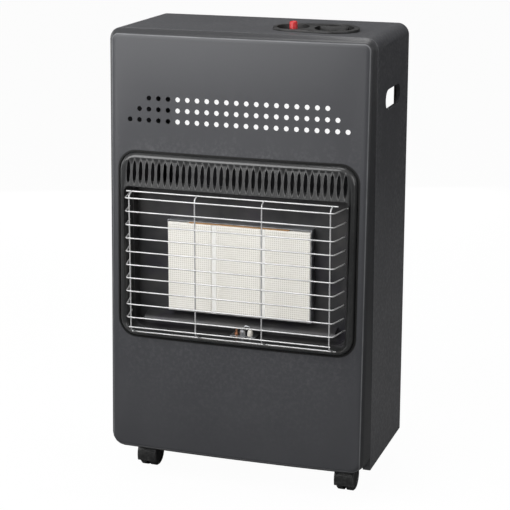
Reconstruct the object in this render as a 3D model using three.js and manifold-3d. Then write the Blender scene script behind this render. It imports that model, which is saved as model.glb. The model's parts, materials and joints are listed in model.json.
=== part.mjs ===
// Portable gas cabinet heater, in millimetres, +Z up, front towards -Y.
// While it is built, Y is counted from the seam between the front panel and the cabinet;
// the finished group is moved so that the middle of its plan lies on the origin.

import * as THREE from 'three';
import { mergeVertices } from 'three/addons/utils/BufferGeometryUtils.js';
import Module from 'manifold-3d';

const wasm = await Module();
wasm.setup();

// ---------------------------------------------------------------- driving sizes

const gap = 0.3; // between pieces that touch on the real heater
const sheet = 1.0; // pressed steel
const plate = 1.2; // the stiffer steel of the base

// cabinet
const width = 420;
const topZ = 716; // upper face of the cabinet
const bottomZ = 49.5; // lower edge of the cabinet
const cabinetDepth = 194; // from the seam to the rear edge
const topRadius = 18;
const rearFlange = 22;
const seamFlange = 12;
const handSlotLength = 90;
const handSlotHeight = 31;
const handSlotDrop = 100; // from the top down to the middle of the slot

// front panel
const panelDepthTop = 12.5; // how far the face stands before the seam, at its top edge
const panelDepthBottom = 36;
const panelBow = 5.3; // how much further its middle stands
const panelBottomRadius = 25;
const panelInset = 7.4; // of the face inside the cabinet's outline
const panelFillet = Math.min(9, panelDepthTop - 3 * sheet - gap);

// vents
const ventRadius = 4;
const ventPitch = 15.6;
const ventRowPitch = 16.8;
const ventTopRow = 19; // holes in the top row, each row below has two more
const ventRows = 3;
const ventDrop = 103; // from the top down to the top row

// burner surround
const surroundWidth = 379;
const surroundHeight = 290.5;
const surroundBottomZ = 239.5;
const surroundRadius = 28;
const surroundRoll = 8; // from its edge to the crest of the rolled rim
const rimHeight = 6.5;
const surroundSide = 18; // from its edge to the opening, at the sides
const surroundFoot = 10; // the same at the bottom
const hoodHeight = 54.5; // and at the top, where the louvres are
const surroundFlange = 6; // hidden behind the panel
const hoodRadius = 6; // of the opening's upper corners
const hoodLip = 4; // how far the hood's lower edge leans out
const louvreCount = 35;
const louvrePitch = 10.1;
const louvreHeight = 37;
const louvreWidth = 6.6;
const louvreLift = 5.5; // above the hood's lower edge

// wire guard
const wireRadius = 1.4;
const guardReach = 63; // its front, measured from the seam
const guardWires = 10;
const guardPitch = 20.9;
const guardInset = 7.5; // of its bends inside the opening
const guardHalf = surroundWidth / 2 - surroundSide - guardInset;
const guardBend = 4;
const uprightSpacing = 105.6;
const uprightCount = 4;
const legSplay = 8;
const hookLength = 9;
const hookDrop = 9.5; // from the hood's lower edge down to the upper hooks

// burner
const plaqueWidth = 71.2;
const plaqueHeight = 140.3;
const plaqueDepth = 13;
const plaqueFrontY = -13;
const plaqueBottomZ = 281;
const sealWidth = 6.9;
const topSealLength = 160;
const topSealHeight = 1.4;
const frameWall = 1.2;
const frameLip = 4;
const burnerBoxDepth = 30;
const venturiRadius = 9;
const venturiLength = 41;
const reflectorBackY = 5; // front face of the reflector's back
const openingY = -14; // rear edge of the surround's opening
const reflectorRadius = 16;
const reflectorFlange = 9; // its width behind the surround

// gas train
const manifoldRadius = 7;
const manifoldY = 17;
const strapWidth = 16; // of the two straps that hang it from the reflector
const strapThick = 4;
const injectorRadius = 4;
const supplyRadius = 4;
const pilotTubeRadius = 2;
const leadRadius = 1.5;
const manifoldDrop = 22; // below the venturis' mouths
const pipeSideGap = 14; // from the cabinet's side to the supply pipe
const supplyRunY = 30; // of each upright run beside the burner
const pilotRunY = 24;
const thermocoupleRunY = 36;
const leadRunY = 46;

// pilot
const pilotX = 10;
const pilotY = -21;
const electrodeX = 22;
const thermocoupleX = 0;
const pilotShelfZ = 252.5;
const pilotStem = 3.2; // radii of the three feet that stand in the shelf
const electrodeStem = 2.6;
const thermocoupleStem = 2.2;
const pilotFootDrop = 5; // below the shelf

// console on the top
const consoleY = 64;
const buttonCup = { x: 62, radius: 25, rim: 6, depth: 8 };
const knobCup = { x: 126, radius: 30, rim: 8, depth: 14 };
const consoleRise = 4;
const consoleTilt = 0.04;
const cupWall = 1.5;
const holeReach = 60; // of a cut above and below the cabinet's top
const buttonRadius = 6;
const buttonRise = 12; // above the cabinet's top
const buttonStroke = 6;
const igniterRadius = 9;
const igniterLength = 50;
const knobRadius = 24;
const knobRise = 6.5; // its grip above the cabinet's top
const gripWidth = 9;
const knobStroke = 4;
const spindleRadius = 3;
const rotorRadius = 7;
const valveWidth = 34;
const valveDepth = 30;
const valveHeight = 40;
const valveCollarRadius = 12;
const outletLength = 5;
const inletRadius = 5;
const inletDepth = 6;

// base and castors
const trayOverWheels = 11.3; // from the wheels' tops up to the tray
const trayWall = 20;
const wheelRadius = 22;
const trayZ = 2 * wheelRadius + trayOverWheels;
const wheelWidth = 11;
const castorX = 165; // of the front castors' pins
const castorY = 22;
const castorRearX = 118; // the rear ones stand behind the cabinet, under the bottle
const castorRearReach = 42;
const castorTrail = 12;
const hoodGap = 0.8;
const hoodWall = 1.6;
const webHalf = 2.4;
const axleRadius = 2.5;
const pinRadius = 4;
const castorPlate = 38;
const castorPlateThick = 2.5;

// rear cover
const coverTopZ = 500;
const coverDepth = 120; // how far it stands behind the cabinet
const coverBackHalf = 122;
const coverSideHalf = 172;
const coverFlange = 18;
const coverHem = 8;
const coverSlotRows = 2;
const coverSlotPitch = 40;
const channelWidth = 20;
const channelDepth = 5;

// ---------------------------------------------------------------- finishes

function finish(color, roughness, metalness) {
  return new THREE.MeshStandardMaterial({ color, roughness, metalness });
}

const finishes = {
  charcoal: () => finish(0x4b4b4e, 0.5, 0.3),
  enamel: () => finish(0x2a2b2b, 0.3, 0.2),
  soot: () => finish(0x1f1f20, 0.7, 0.3),
  chrome: () => finish(0xe6e6e8, 0.12, 1),
  ceramic: () => finish(0xe4e0d6, 0.9, 0),
  fibre: () => finish(0xf5f3ee, 0.95, 0),
  tanFibre: () => finish(0xc49a6c, 0.9, 0),
  porcelain: () => finish(0xf0efea, 0.35, 0),
  zinc: () => finish(0x9c9fa3, 0.45, 0.9),
  brass: () => finish(0xb8944a, 0.35, 1),
  copper: () => finish(0xb5734a, 0.4, 1),
  blackPlastic: () => finish(0x161617, 0.45, 0),
  redPlastic: () => finish(0xc01818, 0.3, 0),
  rubber: () => finish(0x111111, 0.85, 0),
};

// ---------------------------------------------------------------- shared tools

const group = new THREE.Group();

const weldDistance = 1e-4; // points nearer than this are one point

function bare(geometry) {
  const plain = geometry.clone();
  plain.deleteAttribute('normal');
  plain.deleteAttribute('uv');
  return plain;
}

function solidOf(geometry) {
  const merged = mergeVertices(bare(geometry), weldDistance);
  return new wasm.Manifold(new wasm.Mesh({
    numProp: 3,
    vertProperties: new Float32Array(merged.attributes.position.array),
    triVerts: new Uint32Array(merged.index.array),
  }));
}

function geometryOf(solid) {
  const mesh = solid.getMesh();
  const geometry = new THREE.BufferGeometry();
  geometry.setAttribute('position', new THREE.BufferAttribute(mesh.vertProperties.slice(), 3));
  geometry.setIndex(new THREE.BufferAttribute(mesh.triVerts.slice(), 1));
  geometry.computeVertexNormals();
  return geometry;
}

function join(...solids) {
  return wasm.Manifold.union(solids);
}

function add(name, shape, material, place = [0, 0, 0]) {
  const geometry = shape.isBufferGeometry ? shape : geometryOf(shape);
  const mesh = new THREE.Mesh(geometry, material);
  mesh.name = name;
  mesh.position.set(...place);
  group.add(mesh);
  return mesh;
}

function box(x0, x1, y0, y1, z0, z1) {
  const geometry = new THREE.BoxGeometry(x1 - x0, y1 - y0, z1 - z0);
  geometry.translate((x0 + x1) / 2, (y0 + y1) / 2, (z0 + z1) / 2);
  return solidOf(geometry);
}

// a round bar from one point to another along an axis, 'x', 'y' or 'z'
function rod(axis, radius, from, to, across, sides = 20) {
  const geometry = new THREE.CylinderGeometry(radius, radius, to - from, sides);
  const middle = (from + to) / 2;
  if (axis === 'x') {
    geometry.rotateZ(-Math.PI / 2);
    geometry.translate(middle, across[0], across[1]);
  } else if (axis === 'y') {
    geometry.translate(across[0], middle, across[1]);
  } else {
    geometry.rotateX(Math.PI / 2);
    geometry.translate(across[0], across[1], middle);
  }
  return solidOf(geometry);
}

// a skin turned round the Z axis, from radii and heights
function turned(points, sides) {
  const profile = points.map(([r, z]) => new THREE.Vector2(r, z));
  const geometry = new THREE.LatheGeometry(profile, sides);
  return geometry.rotateX(Math.PI / 2);
}

function lathe(points, sides = 24, place = [0, 0, 0]) {
  return facingOut(turned(points, sides).translate(...place));
}

// the solid inside a closed skin, whichever way round its triangles run
function facingOut(geometry) {
  const solid = solidOf(geometry);
  if (solid.volume() > 0) return solid;
  const flipped = mergeVertices(bare(geometry), weldDistance);
  const index = flipped.index.array;
  for (let i = 0; i < index.length; i += 3) {
    [index[i], index[i + 1]] = [index[i + 1], index[i]];
  }
  return solidOf(flipped);
}

function shapeOf(points) {
  return new THREE.Shape(points.map(([a, b]) => new THREE.Vector2(a, b)));
}

// an outline stretched into a plate, without the double points where its lines meet its arcs
function plateOf(shape, depth, curveSegments) {
  const points = shape.getPoints(curveSegments);
  const count = points.length;
  const apart = points.filter((p, i) => p.distanceTo(points[(i + 1) % count]) > 1e-3);
  return new THREE.ExtrudeGeometry(new THREE.Shape(apart), { depth, bevelEnabled: false });
}

// a shape drawn in X and Z, as thick as from yFront to yBack
function frontPlate(shape, yFront, yBack, curveSegments = 6) {
  const geometry = plateOf(shape, yBack - yFront, curveSegments);
  geometry.rotateX(Math.PI / 2);
  geometry.translate(0, yBack, 0);
  return solidOf(geometry);
}

// a shape drawn in X and Y, from zLow up to zHigh
function flatPlate(shape, zLow, zHigh, curveSegments = 6) {
  const geometry = plateOf(shape, zHigh - zLow, curveSegments);
  geometry.translate(0, 0, zLow);
  return solidOf(geometry);
}

// a shape drawn in Y and Z, from xLow to xHigh
function sidePlate(shape, xLow, xHigh, curveSegments = 6) {
  const geometry = plateOf(shape, xHigh - xLow, curveSegments);
  const turn = new THREE.Matrix4().makeBasis(
    new THREE.Vector3(0, 1, 0),
    new THREE.Vector3(0, 0, 1),
    new THREE.Vector3(1, 0, 0),
  );
  geometry.applyMatrix4(turn);
  geometry.translate(xLow, 0, 0);
  return solidOf(geometry);
}

// points round a rectangle with round corners, anticlockwise from its right side, as many
// whatever its size. Each long edge, top and bottom, gets so many points between its corners
function ringPoints(x0, x1, z0, z1, topR, bottomR, perCorner = 4, along = 0) {
  const corners = [
    [x1 - topR, z1 - topR, topR, 0],
    [x0 + topR, z1 - topR, topR, 90],
    [x0 + bottomR, z0 + bottomR, bottomR, 180],
    [x1 - bottomR, z0 + bottomR, bottomR, 270],
  ];
  const points = [];
  corners.forEach(([cx, cz, r, start], c) => {
    for (let k = 0; k <= perCorner; k += 1) {
      const angle = THREE.MathUtils.degToRad(start + (90 * k) / perCorner);
      points.push([cx + r * Math.cos(angle), cz + r * Math.sin(angle)]);
    }
    const endX = corners[(c + 1) % 4][0];
    const edgeZ = c === 0 ? z1 : z0;
    for (let k = 1; k <= along && c % 2 === 0; k += 1) {
      points.push([THREE.MathUtils.lerp(cx, endX, k / (along + 1)), edgeZ]);
    }
  });
  return points;
}

// a closed skin over rings of points [x, y, z] with equal counts. When it doesn't close on
// itself, its first and last ring are filled with upright strips
function loft(rings, closed = false) {
  const count = rings[0].length;
  const positions = rings.flat(2);
  const index = [];
  const spans = closed ? rings.length : rings.length - 1;
  for (let r = 0; r < spans; r += 1) {
    const next = (r + 1) % rings.length;
    for (let i = 0; i < count; i += 1) {
      const j = (i + 1) % count;
      const [a, b, c, d] = [r * count + i, r * count + j, next * count + j, next * count + i];
      index.push(a, c, b, a, d, c);
    }
  }
  if (!closed) {
    const last = (rings.length - 1) * count;
    for (let i = 0; i < count / 2 - 1; i += 1) {
      const [a, b, c, d] = [i, i + 1, count - 2 - i, count - 1 - i];
      index.push(a, b, c, a, c, d);
      index.push(last + a, last + c, last + b, last + a, last + d, last + c);
    }
  }
  const geometry = new THREE.BufferGeometry();
  geometry.setAttribute('position', new THREE.Float32BufferAttribute(positions, 3));
  geometry.setIndex(index);
  return facingOut(geometry);
}

// rings that follow the given ones at a set depth behind the skin over them
function behind(rings, depth) {
  const count = rings[0].length;
  const at = (r, i) => {
    const ring = rings[THREE.MathUtils.clamp(r, 0, rings.length - 1)];
    return new THREE.Vector3(...ring[(i + count) % count]);
  };
  return rings.map((ring, r) => ring.map((point, i) => {
    const inward = at(r + 1, i).sub(at(r - 1, i));
    const round = at(r, i + 1).sub(at(r, i - 1));
    return at(r, i).addScaledVector(inward.cross(round).normalize(), depth).toArray();
  }));
}

// moves every corner of a solid
function reshape(solid, move) {
  const geometry = geometryOf(solid);
  const corners = geometry.attributes.position;
  const point = new THREE.Vector3();
  for (let i = 0; i < corners.count; i += 1) {
    point.fromBufferAttribute(corners, i);
    move(point);
    corners.setXYZ(i, point.x, point.y, point.z);
  }
  return solidOf(geometry);
}

// a path through its own corner points: a straight run takes one step, a bend a few
class BentPath extends THREE.Curve {
  constructor(points) {
    super();
    this.points = points;
  }

  getPoint(t, target = new THREE.Vector3()) {
    const place = t * (this.points.length - 1);
    const i = Math.min(Math.floor(place + 1e-6), this.points.length - 2);
    return target.lerpVectors(this.points[i], this.points[i + 1], place - i);
  }

  getPointAt(t, target) {
    return this.getPoint(t, target);
  }

  getTangentAt(t, target = new THREE.Vector3()) {
    const i = Math.round(t * (this.points.length - 1));
    const before = this.points[Math.max(i - 1, 0)];
    const here = this.points[i];
    const after = this.points[Math.min(i + 1, this.points.length - 1)];
    const into = here.clone().sub(before).normalize();
    const out = after.clone().sub(here).normalize();
    return target.copy(into).add(out).normalize();
  }
}

// a round wire or tube through corners, each corner rounded with the given bend radius
function wire(corners, radius, bend, sides = 6, perBend = 2) {
  const given = corners.map((c) => new THREE.Vector3(...c));
  const points = [given[0]];
  for (let i = 1; i < given.length - 1; i += 1) {
    const into = given[i].clone().sub(given[i - 1]);
    const out = given[i + 1].clone().sub(given[i]);
    const reach = Math.min(bend, into.length() * 0.45, out.length() * 0.45);
    const start = given[i].clone().addScaledVector(into.normalize(), -reach);
    const end = given[i].clone().addScaledVector(out.normalize(), reach);
    const arc = new THREE.QuadraticBezierCurve3(start, given[i], end);
    points.push(...arc.getPoints(perBend));
  }
  points.push(given[given.length - 1]);
  const section = new THREE.Shape();
  for (let k = 0; k < sides; k += 1) {
    const angle = (2 * Math.PI * k) / sides;
    const [a, b] = [radius * Math.cos(angle), radius * Math.sin(angle)];
    if (k === 0) section.moveTo(a, b);
    else section.lineTo(a, b);
  }
  section.closePath();
  const geometry = new THREE.ExtrudeGeometry(section, {
    steps: points.length - 1,
    extrudePath: new BentPath(points),
    bevelEnabled: false,
  });
  return facingOut(geometry);
}

// ---------------------------------------------------------------- shared places

const half = width / 2;
const innerHalf = half - sheet;
const ceilingZ = topZ - sheet;
const faceTopZ = topZ - panelInset;
const faceBottomZ = bottomZ + panelInset;
const openingHalf = surroundWidth / 2 - surroundSide;
const surroundTopZ = surroundBottomZ + surroundHeight;
const openingTopZ = surroundTopZ - hoodHeight;
const openingBottomZ = surroundBottomZ + surroundFoot;

// the face of the front panel: it leans out towards the bottom and bows out in the middle
function faceY(x, z) {
  const down = THREE.MathUtils.clamp((faceTopZ - z) / (faceTopZ - faceBottomZ), 0, 1);
  const across = Math.min(Math.abs(x) / half, 1);
  const lean = THREE.MathUtils.lerp(panelDepthTop, panelDepthBottom, down);
  return -(lean + panelBow * (1 - across * across));
}

// ---------------------------------------------------------------- cabinet

function archShape(inset, foot) {
  const r = Math.max(topRadius - inset, 3);
  const [left, right, top] = [-half + inset, half - inset, topZ - inset];
  const shape = new THREE.Shape();
  shape.moveTo(left, foot);
  shape.lineTo(right, foot);
  shape.lineTo(right, top - r);
  shape.absarc(right - r, top - r, r, 0, Math.PI / 2, false);
  shape.lineTo(left + r, top);
  shape.absarc(left + r, top - r, r, Math.PI / 2, Math.PI, false);
  return shape;
}

function arch(inset, yFront, yBack, foot = bottomZ) {
  return frontPlate(archShape(inset, foot), yFront, yBack);
}

function stadium(y, z, length, height) {
  const r = height / 2;
  const shape = new THREE.Shape();
  shape.absarc(y + length / 2 - r, z, r, -Math.PI / 2, Math.PI / 2, false);
  shape.absarc(y - length / 2 + r, z, r, Math.PI / 2, (3 * Math.PI) / 2, false);
  return shape;
}

const handSlotZ = topZ - handSlotDrop;
const handSlotY = cabinetDepth / 2;

function makeCabinetShell() {
  const below = bottomZ - 1;
  const inner = cabinetDepth - sheet;
  const skin = arch(0, gap, cabinetDepth)
    .subtract(arch(sheet, gap + sheet, inner, below))
    .subtract(arch(seamFlange, 0, gap + sheet + 1, below))
    .subtract(arch(rearFlange, inner - 1, cabinetDepth + 1, below));
  const slot = stadium(handSlotY, handSlotZ, handSlotLength, handSlotHeight);
  const hem = stadium(handSlotY, handSlotZ, handSlotLength + 2 * sheet, handSlotHeight + 2 * sheet);
  const hemDepth = 6;
  const hemStart = half - sheet / 2;
  const hems = join(
    sidePlate(hem, -hemStart, -half + hemDepth),
    sidePlate(hem, half - hemDepth, hemStart),
  );
  const cuts = sidePlate(slot, -half - 1, half + 1);
  const hole = flatPlate(consoleOutline(cupWall + 2 * gap, 'cup'), ceilingZ - 1, topZ + 1, 8);
  return join(skin, hems).subtract(join(cuts, hole));
}

// ---------------------------------------------------------------- front panel

const panStrips = 7; // upright strips in its bowed face

function panRing(inset, offset) {
  const topR = Math.max(topRadius - inset - offset, 3);
  const bottomR = Math.max(panelBottomRadius - inset - offset, 3);
  const reach = inset + offset;
  return ringPoints(
    -half + reach, half - reach, bottomZ + reach, topZ - reach, topR, bottomR, 4, panStrips,
  );
}

// rings from the seam forward over the crease; the last one lies in the face
function panSolid(offset, backY) {
  const start = panelInset - panelFillet * 0.4;
  const rings = [panRing(0, offset).map(([x, z]) => [x, backY, z])];
  const steps = 4;
  for (let k = 0; k <= steps; k += 1) {
    const angle = (Math.PI / 2) * (k / steps);
    const inset = start + panelFillet * (1 - Math.cos(angle));
    const back = offset + panelFillet * (1 - Math.sin(angle));
    rings.push(panRing(inset, offset).map(([x, z]) => [x, faceY(x, z) + back, z]));
  }
  return loft(rings);
}

function ventHoles() {
  const holes = [];
  const deepest = panelDepthBottom + panelBow + 1;
  for (let row = 0; row < ventRows; row += 1) {
    const count = ventTopRow + 2 * row;
    for (let i = 0; i < count; i += 1) {
      const x = (i - (count - 1) / 2) * ventPitch;
      const z = topZ - ventDrop - row * ventRowPitch;
      holes.push(rod('y', ventRadius, -deepest, 1, [x, z], 8));
    }
  }
  return join(...holes);
}

function makeFrontPanel() {
  const edge = (inset) => shapeOf(panRing(inset, 0));
  const window = frontPlate(edge(seamFlange), -2 * sheet, 1);
  const pan = panSolid(0, 0).subtract(panSolid(sheet, -sheet)).subtract(window);
  const opening = frontPlate(
    shapeOf(ringPoints(
      -surroundWidth / 2, surroundWidth / 2, surroundBottomZ, surroundTopZ,
      surroundRadius, surroundRadius,
    )),
    -panelDepthBottom - panelBow - 1,
    -2 * sheet,
  );
  return pan.subtract(join(opening, ventHoles()));
}

// ---------------------------------------------------------------- burner surround

// how the surround runs from its hidden flange over the rim into the opening:
// how far in it has come, how far behind the face it lies, and the share of the hood above it
const surroundDepth = 19; // from the face back to the opening's edge, while it is flat
const surroundRun = [
  { inset: -surroundFlange, y: 2.2, hood: 0 },
  { inset: 1, y: 2.2, hood: 0 },
  { inset: 2.5, y: -rimHeight * 0.4, hood: 0 },
  { inset: 5, y: -rimHeight * 0.85, hood: 0 },
  { inset: surroundRoll, y: -rimHeight, hood: 0 },
  { inset: surroundRoll + 3, y: -rimHeight * 0.85, hood: 0 },
  { inset: surroundRoll + 3.6, y: -rimHeight * 0.8, hood: 1 },
  { inset: surroundSide - 3, y: 2, hood: 1 },
  { inset: surroundSide, y: surroundDepth, hood: 1 },
];

function surroundRing({ inset, y, hood }) {
  const foot = inset <= surroundRoll ? inset * 0.75 : (inset / surroundSide) * surroundFoot;
  const top = hood ? hoodHeight - (y > 0 ? 0 : 2) : inset;
  const reach = surroundWidth / 2;
  const radius = Math.max(surroundRadius - inset, 6);
  return ringPoints(
    -reach + inset, reach - inset, surroundBottomZ + foot, surroundTopZ - top,
    hood ? hoodRadius : radius, radius, 4, panStrips,
  ).map(([x, z]) => {
    const lip = hood && y < 0 && z > openingTopZ - 30 ? hoodLip : 0;
    const face = faceY(x, z);
    if (y > 3) return [x, THREE.MathUtils.lerp(face, openingY, y / surroundDepth), z];
    return [x, face + y - lip, z];
  });
}

function ellipse(x, z, wide, high, corners) {
  const points = [];
  for (let k = 0; k < corners; k += 1) {
    const angle = (2 * Math.PI * k) / corners;
    points.push([x + (wide / 2) * Math.cos(angle), z + (high / 2) * Math.sin(angle)]);
  }
  return shapeOf(points);
}

const louvreBackY = faceY(half, surroundTopZ) + 12;
const louvreZ = openingTopZ + louvreLift + louvreHeight / 2;
const hookZs = [openingTopZ - hookDrop, openingTopZ - hookDrop - (guardWires - 1) * guardPitch];
const hookY = faceY(openingHalf, (hookZs[0] + hookZs[1]) / 2) + 5;

// the ways for the three feet of the pilot
function pilotHoles(clearance, zLow, zHigh) {
  return join(
    rod('z', pilotStem + clearance, zLow, zHigh, [pilotX, pilotY], 12),
    rod('z', electrodeStem + clearance, zLow, zHigh, [electrodeX, pilotY], 12),
    rod('z', thermocoupleStem + clearance, zLow, zHigh, [thermocoupleX, pilotY], 12),
  );
}

function makeSurround() {
  const front = surroundRun.map(surroundRing);
  const back = behind(front, sheet).reverse();
  const slots = [];
  for (let i = 0; i < louvreCount; i += 1) {
    const x = (i - (louvreCount - 1) / 2) * louvrePitch;
    const slot = ellipse(x, louvreZ, louvreWidth, louvreHeight, 8);
    slots.push(frontPlate(slot, -guardReach, louvreBackY));
  }
  const shaped = loft([...front, ...back], true).subtract(join(...slots));
  const holes = [];
  const [near, far] = [openingHalf - 3, openingHalf + 11];
  for (const z of hookZs) {
    holes.push(rod('x', wireRadius + 3 * gap, near, far, [hookY, z], 8));
    holes.push(rod('x', wireRadius + 3 * gap, -far, -near, [hookY, z], 8));
  }
  const feet = pilotHoles(2 * gap, surroundBottomZ + 2, openingBottomZ + 2);
  return shaped.subtract(join(feet, ...holes));
}

// ---------------------------------------------------------------- wire guard

const guardFrontY = -guardReach + wireRadius;

function makeWireGuard() {
  const weld = 0.65;
  const wires = [];
  const legX = guardHalf + legSplay;
  for (let i = 0; i < guardWires; i += 1) {
    const z = hookZs[0] - i * guardPitch;
    const hooked = i === 0 || i === guardWires - 1;
    const endY = hooked ? hookY : faceY(openingHalf, z) - 1;
    const left = [[-legX, endY, z], [-guardHalf, guardFrontY, z]];
    const right = [[guardHalf, guardFrontY, z], [legX, endY, z]];
    if (hooked) {
      left.unshift([-legX - hookLength, endY, z]);
      right.push([legX + hookLength, endY, z]);
    }
    wires.push(wire([...left, ...right], wireRadius, guardBend));
  }
  const topWire = { y: -49, z: hookZs[0] + 8 };
  const lastZ = hookZs[1] - 15.5;
  const rearWire = { y: -42, z: lastZ - 13 };
  const uprightY = guardFrontY + 2 * wireRadius - weld;
  wires.push(wire([[-167, topWire.y, topWire.z], [167, topWire.y, topWire.z]], wireRadius, 0));
  wires.push(wire([[-161, guardFrontY, lastZ], [161, guardFrontY, lastZ]], wireRadius, 0));
  wires.push(wire([[-164, rearWire.y, rearWire.z], [164, rearWire.y, rearWire.z]], wireRadius, 0));
  for (let i = 0; i < uprightCount; i += 1) {
    const x = (i - (uprightCount - 1) / 2) * uprightSpacing;
    wires.push(wire([
      [x, topWire.y, topWire.z],
      [x, uprightY, hookZs[0] + guardBend],
      [x, uprightY, lastZ - guardBend],
      [x, rearWire.y, rearWire.z],
    ], wireRadius, guardBend));
  }
  return join(...wires);
}

// ---------------------------------------------------------------- reflector and burner

const plaquePitch = plaqueWidth + sealWidth + 2 * gap;
const plaqueSpan = 2 * plaquePitch + plaqueWidth;
const plaqueBackY = plaqueFrontY + plaqueDepth;
const plaqueTopZ = plaqueBottomZ + plaqueHeight;
const frameHalf = plaqueSpan / 2 + gap;
const frameLowZ = plaqueBottomZ - gap;
const frameHighZ = plaqueTopZ + topSealHeight + 2 * gap;

function rectangle(x0, x1, z0, z1) {
  return shapeOf([[x0, z0], [x1, z0], [x1, z1], [x0, z1]]);
}

function reflectorSolid(grow, yFront, yBack) {
  const rings = [yFront, yBack].map((y) => ringPoints(
    -openingHalf + sheet - grow, openingHalf - sheet + grow,
    openingBottomZ + sheet - grow, openingTopZ - sheet + grow, 6, reflectorRadius,
  ).map(([x, z]) => [x, y, z]));
  return loft(rings);
}

function makeReflectorBox() {
  const yFront = openingY + 2 * gap;
  const pan = reflectorSolid(sheet, yFront, reflectorBackY + sheet)
    .subtract(reflectorSolid(0, yFront - 1, reflectorBackY));
  const flange = reflectorSolid(reflectorFlange, yFront, yFront + sheet)
    .subtract(reflectorSolid(0, yFront - 1, reflectorBackY));
  const reach = frameWall + gap;
  const window = frontPlate(
    rectangle(-frameHalf - reach, frameHalf + reach, frameLowZ - reach, frameHighZ + reach),
    reflectorBackY - 1,
    reflectorBackY + sheet + 1,
  );
  return join(pan, flange).subtract(window);
}

function makeDeflectorShelf() {
  const backY = reflectorBackY - gap;
  const high = plaqueBottomZ - 8;
  const low = high - 9;
  const frontY = backY - 21;
  const shape = new THREE.Shape();
  shape.moveTo(backY, high);
  shape.quadraticCurveTo(frontY + 2, high - 2, frontY, low);
  shape.lineTo(frontY + sheet, low);
  shape.quadraticCurveTo(frontY + 3.2, high - 3.4, backY, high - sheet);
  const reach = openingHalf - sheet - reflectorRadius;
  return sidePlate(shape, -reach, reach, 5);
}

function makeBurnerFrame() {
  const lipY = plaqueBackY + gap;
  const backY = reflectorBackY + sheet + gap;
  const tube = frontPlate(
    rectangle(-frameHalf - frameWall, frameHalf + frameWall, frameLowZ - frameWall, frameHighZ + frameWall),
    plaqueFrontY + 3, backY + sheet,
  );
  const inside = frontPlate(
    rectangle(-frameHalf, frameHalf, frameLowZ, frameHighZ), plaqueFrontY, lipY,
  );
  const through = frontPlate(
    rectangle(-frameHalf + frameLip, frameHalf - frameLip, frameLowZ + frameLip, frameHighZ - frameLip),
    lipY - 1, backY + 2,
  );
  const flange = frontPlate(
    rectangle(-frameHalf - 7, frameHalf + 7, frameLowZ - 7, frameHighZ + 7), backY, backY + sheet,
  );
  const bars = [];
  for (const side of [-1, 1]) {
    const x = (side * plaquePitch) / 2;
    bars.push(frontPlate(
      rectangle(x - 3, x + 3, frameLowZ, frameHighZ), lipY, lipY + sheet,
    ));
  }
  return join(tube, flange).subtract(join(inside, through)).add(join(...bars));
}

function makePlaque() {
  const bevel = 0.8;
  const geometry = new THREE.ExtrudeGeometry(
    rectangle(-plaqueWidth / 2 + bevel, plaqueWidth / 2 - bevel, bevel, plaqueHeight - bevel),
    { depth: plaqueDepth - 2 * bevel, bevelSize: bevel, bevelThickness: bevel, bevelSegments: 1 },
  );
  geometry.rotateX(Math.PI / 2);
  geometry.translate(0, plaqueDepth - bevel, 0);
  return solidOf(geometry);
}

function makeBurnerBox() {
  const wide = plaqueWidth / 2 - frameLip - gap;
  const front = plaqueBackY + sheet + 2 * gap;
  const back = front + burnerBoxDepth;
  const [low, high] = [frameLowZ + frameLip + gap, frameHighZ - frameLip - gap];
  const hollow = box(-wide + sheet, wide - sheet, front - 1, back - sheet, low + sheet, high - sheet);
  const way = rod('z', venturiRadius - sheet / 2, low - 1, low + sheet + 1, [0, manifoldY], 14);
  const shell = box(-wide, wide, front, back, low, high).subtract(join(hollow, way));
  const throat = venturiRadius * 0.75;
  const top = venturiLength + 12;
  const neck = lathe([
    [venturiRadius, 0],
    [throat, 12],
    [venturiRadius, venturiLength - 4],
    [venturiRadius, top],
    [venturiRadius - sheet, top],
    [venturiRadius - sheet, venturiLength - 4],
    [throat - sheet, 12],
    [venturiRadius - sheet, 0],
    [venturiRadius, 0],
  ], 14, [0, manifoldY, low - venturiLength]);
  return join(shell, neck);
}

// ---------------------------------------------------------------- gas train

const venturiMouthZ = frameLowZ + frameLip + gap - venturiLength;
const manifoldZ = venturiMouthZ - manifoldDrop;
const manifoldHalf = plaquePitch + 20;
const pipeX = innerHalf - pipeSideGap;

function makeManifold() {
  const strapFront = manifoldY - manifoldRadius - strapThick;
  const strapBack = manifoldY - manifoldRadius + 1;
  const strapTop = openingBottomZ - gap;
  const footFront = openingY + 6;
  const straps = [-1, 1].map((side) => {
    const x0 = side * (plaquePitch / 2) - strapWidth / 2;
    const x1 = x0 + strapWidth;
    return join(
      box(x0, x1, strapFront, strapBack, manifoldZ, strapTop - sheet / 2),
      box(x0, x1, footFront, strapBack, strapTop - sheet, strapTop),
    );
  });
  const bore = injectorRadius - 1 + gap;
  const bores = [-1, 0, 1].map((i) => {
    const x = i * plaquePitch;
    return rod('z', bore, manifoldZ, manifoldZ + manifoldRadius + 1, [x, manifoldY], 12);
  });
  const tube = rod('x', manifoldRadius, -manifoldHalf, manifoldHalf, [manifoldY, manifoldZ], 16);
  return join(tube, ...straps).subtract(join(...bores));
}

function makeInjector() {
  const stem = injectorRadius - 1;
  return lathe([
    [0, 1],
    [stem, 1],
    [stem, manifoldRadius + gap],
    [injectorRadius + 1.5, manifoldRadius + gap],
    [injectorRadius + 1.5, manifoldRadius + 5],
    [injectorRadius - 1, manifoldRadius + 6],
    [injectorRadius - 2, manifoldRadius + 10],
    [0, manifoldRadius + 10],
  ], 6);
}

// ---------------------------------------------------------------- pilot

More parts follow.
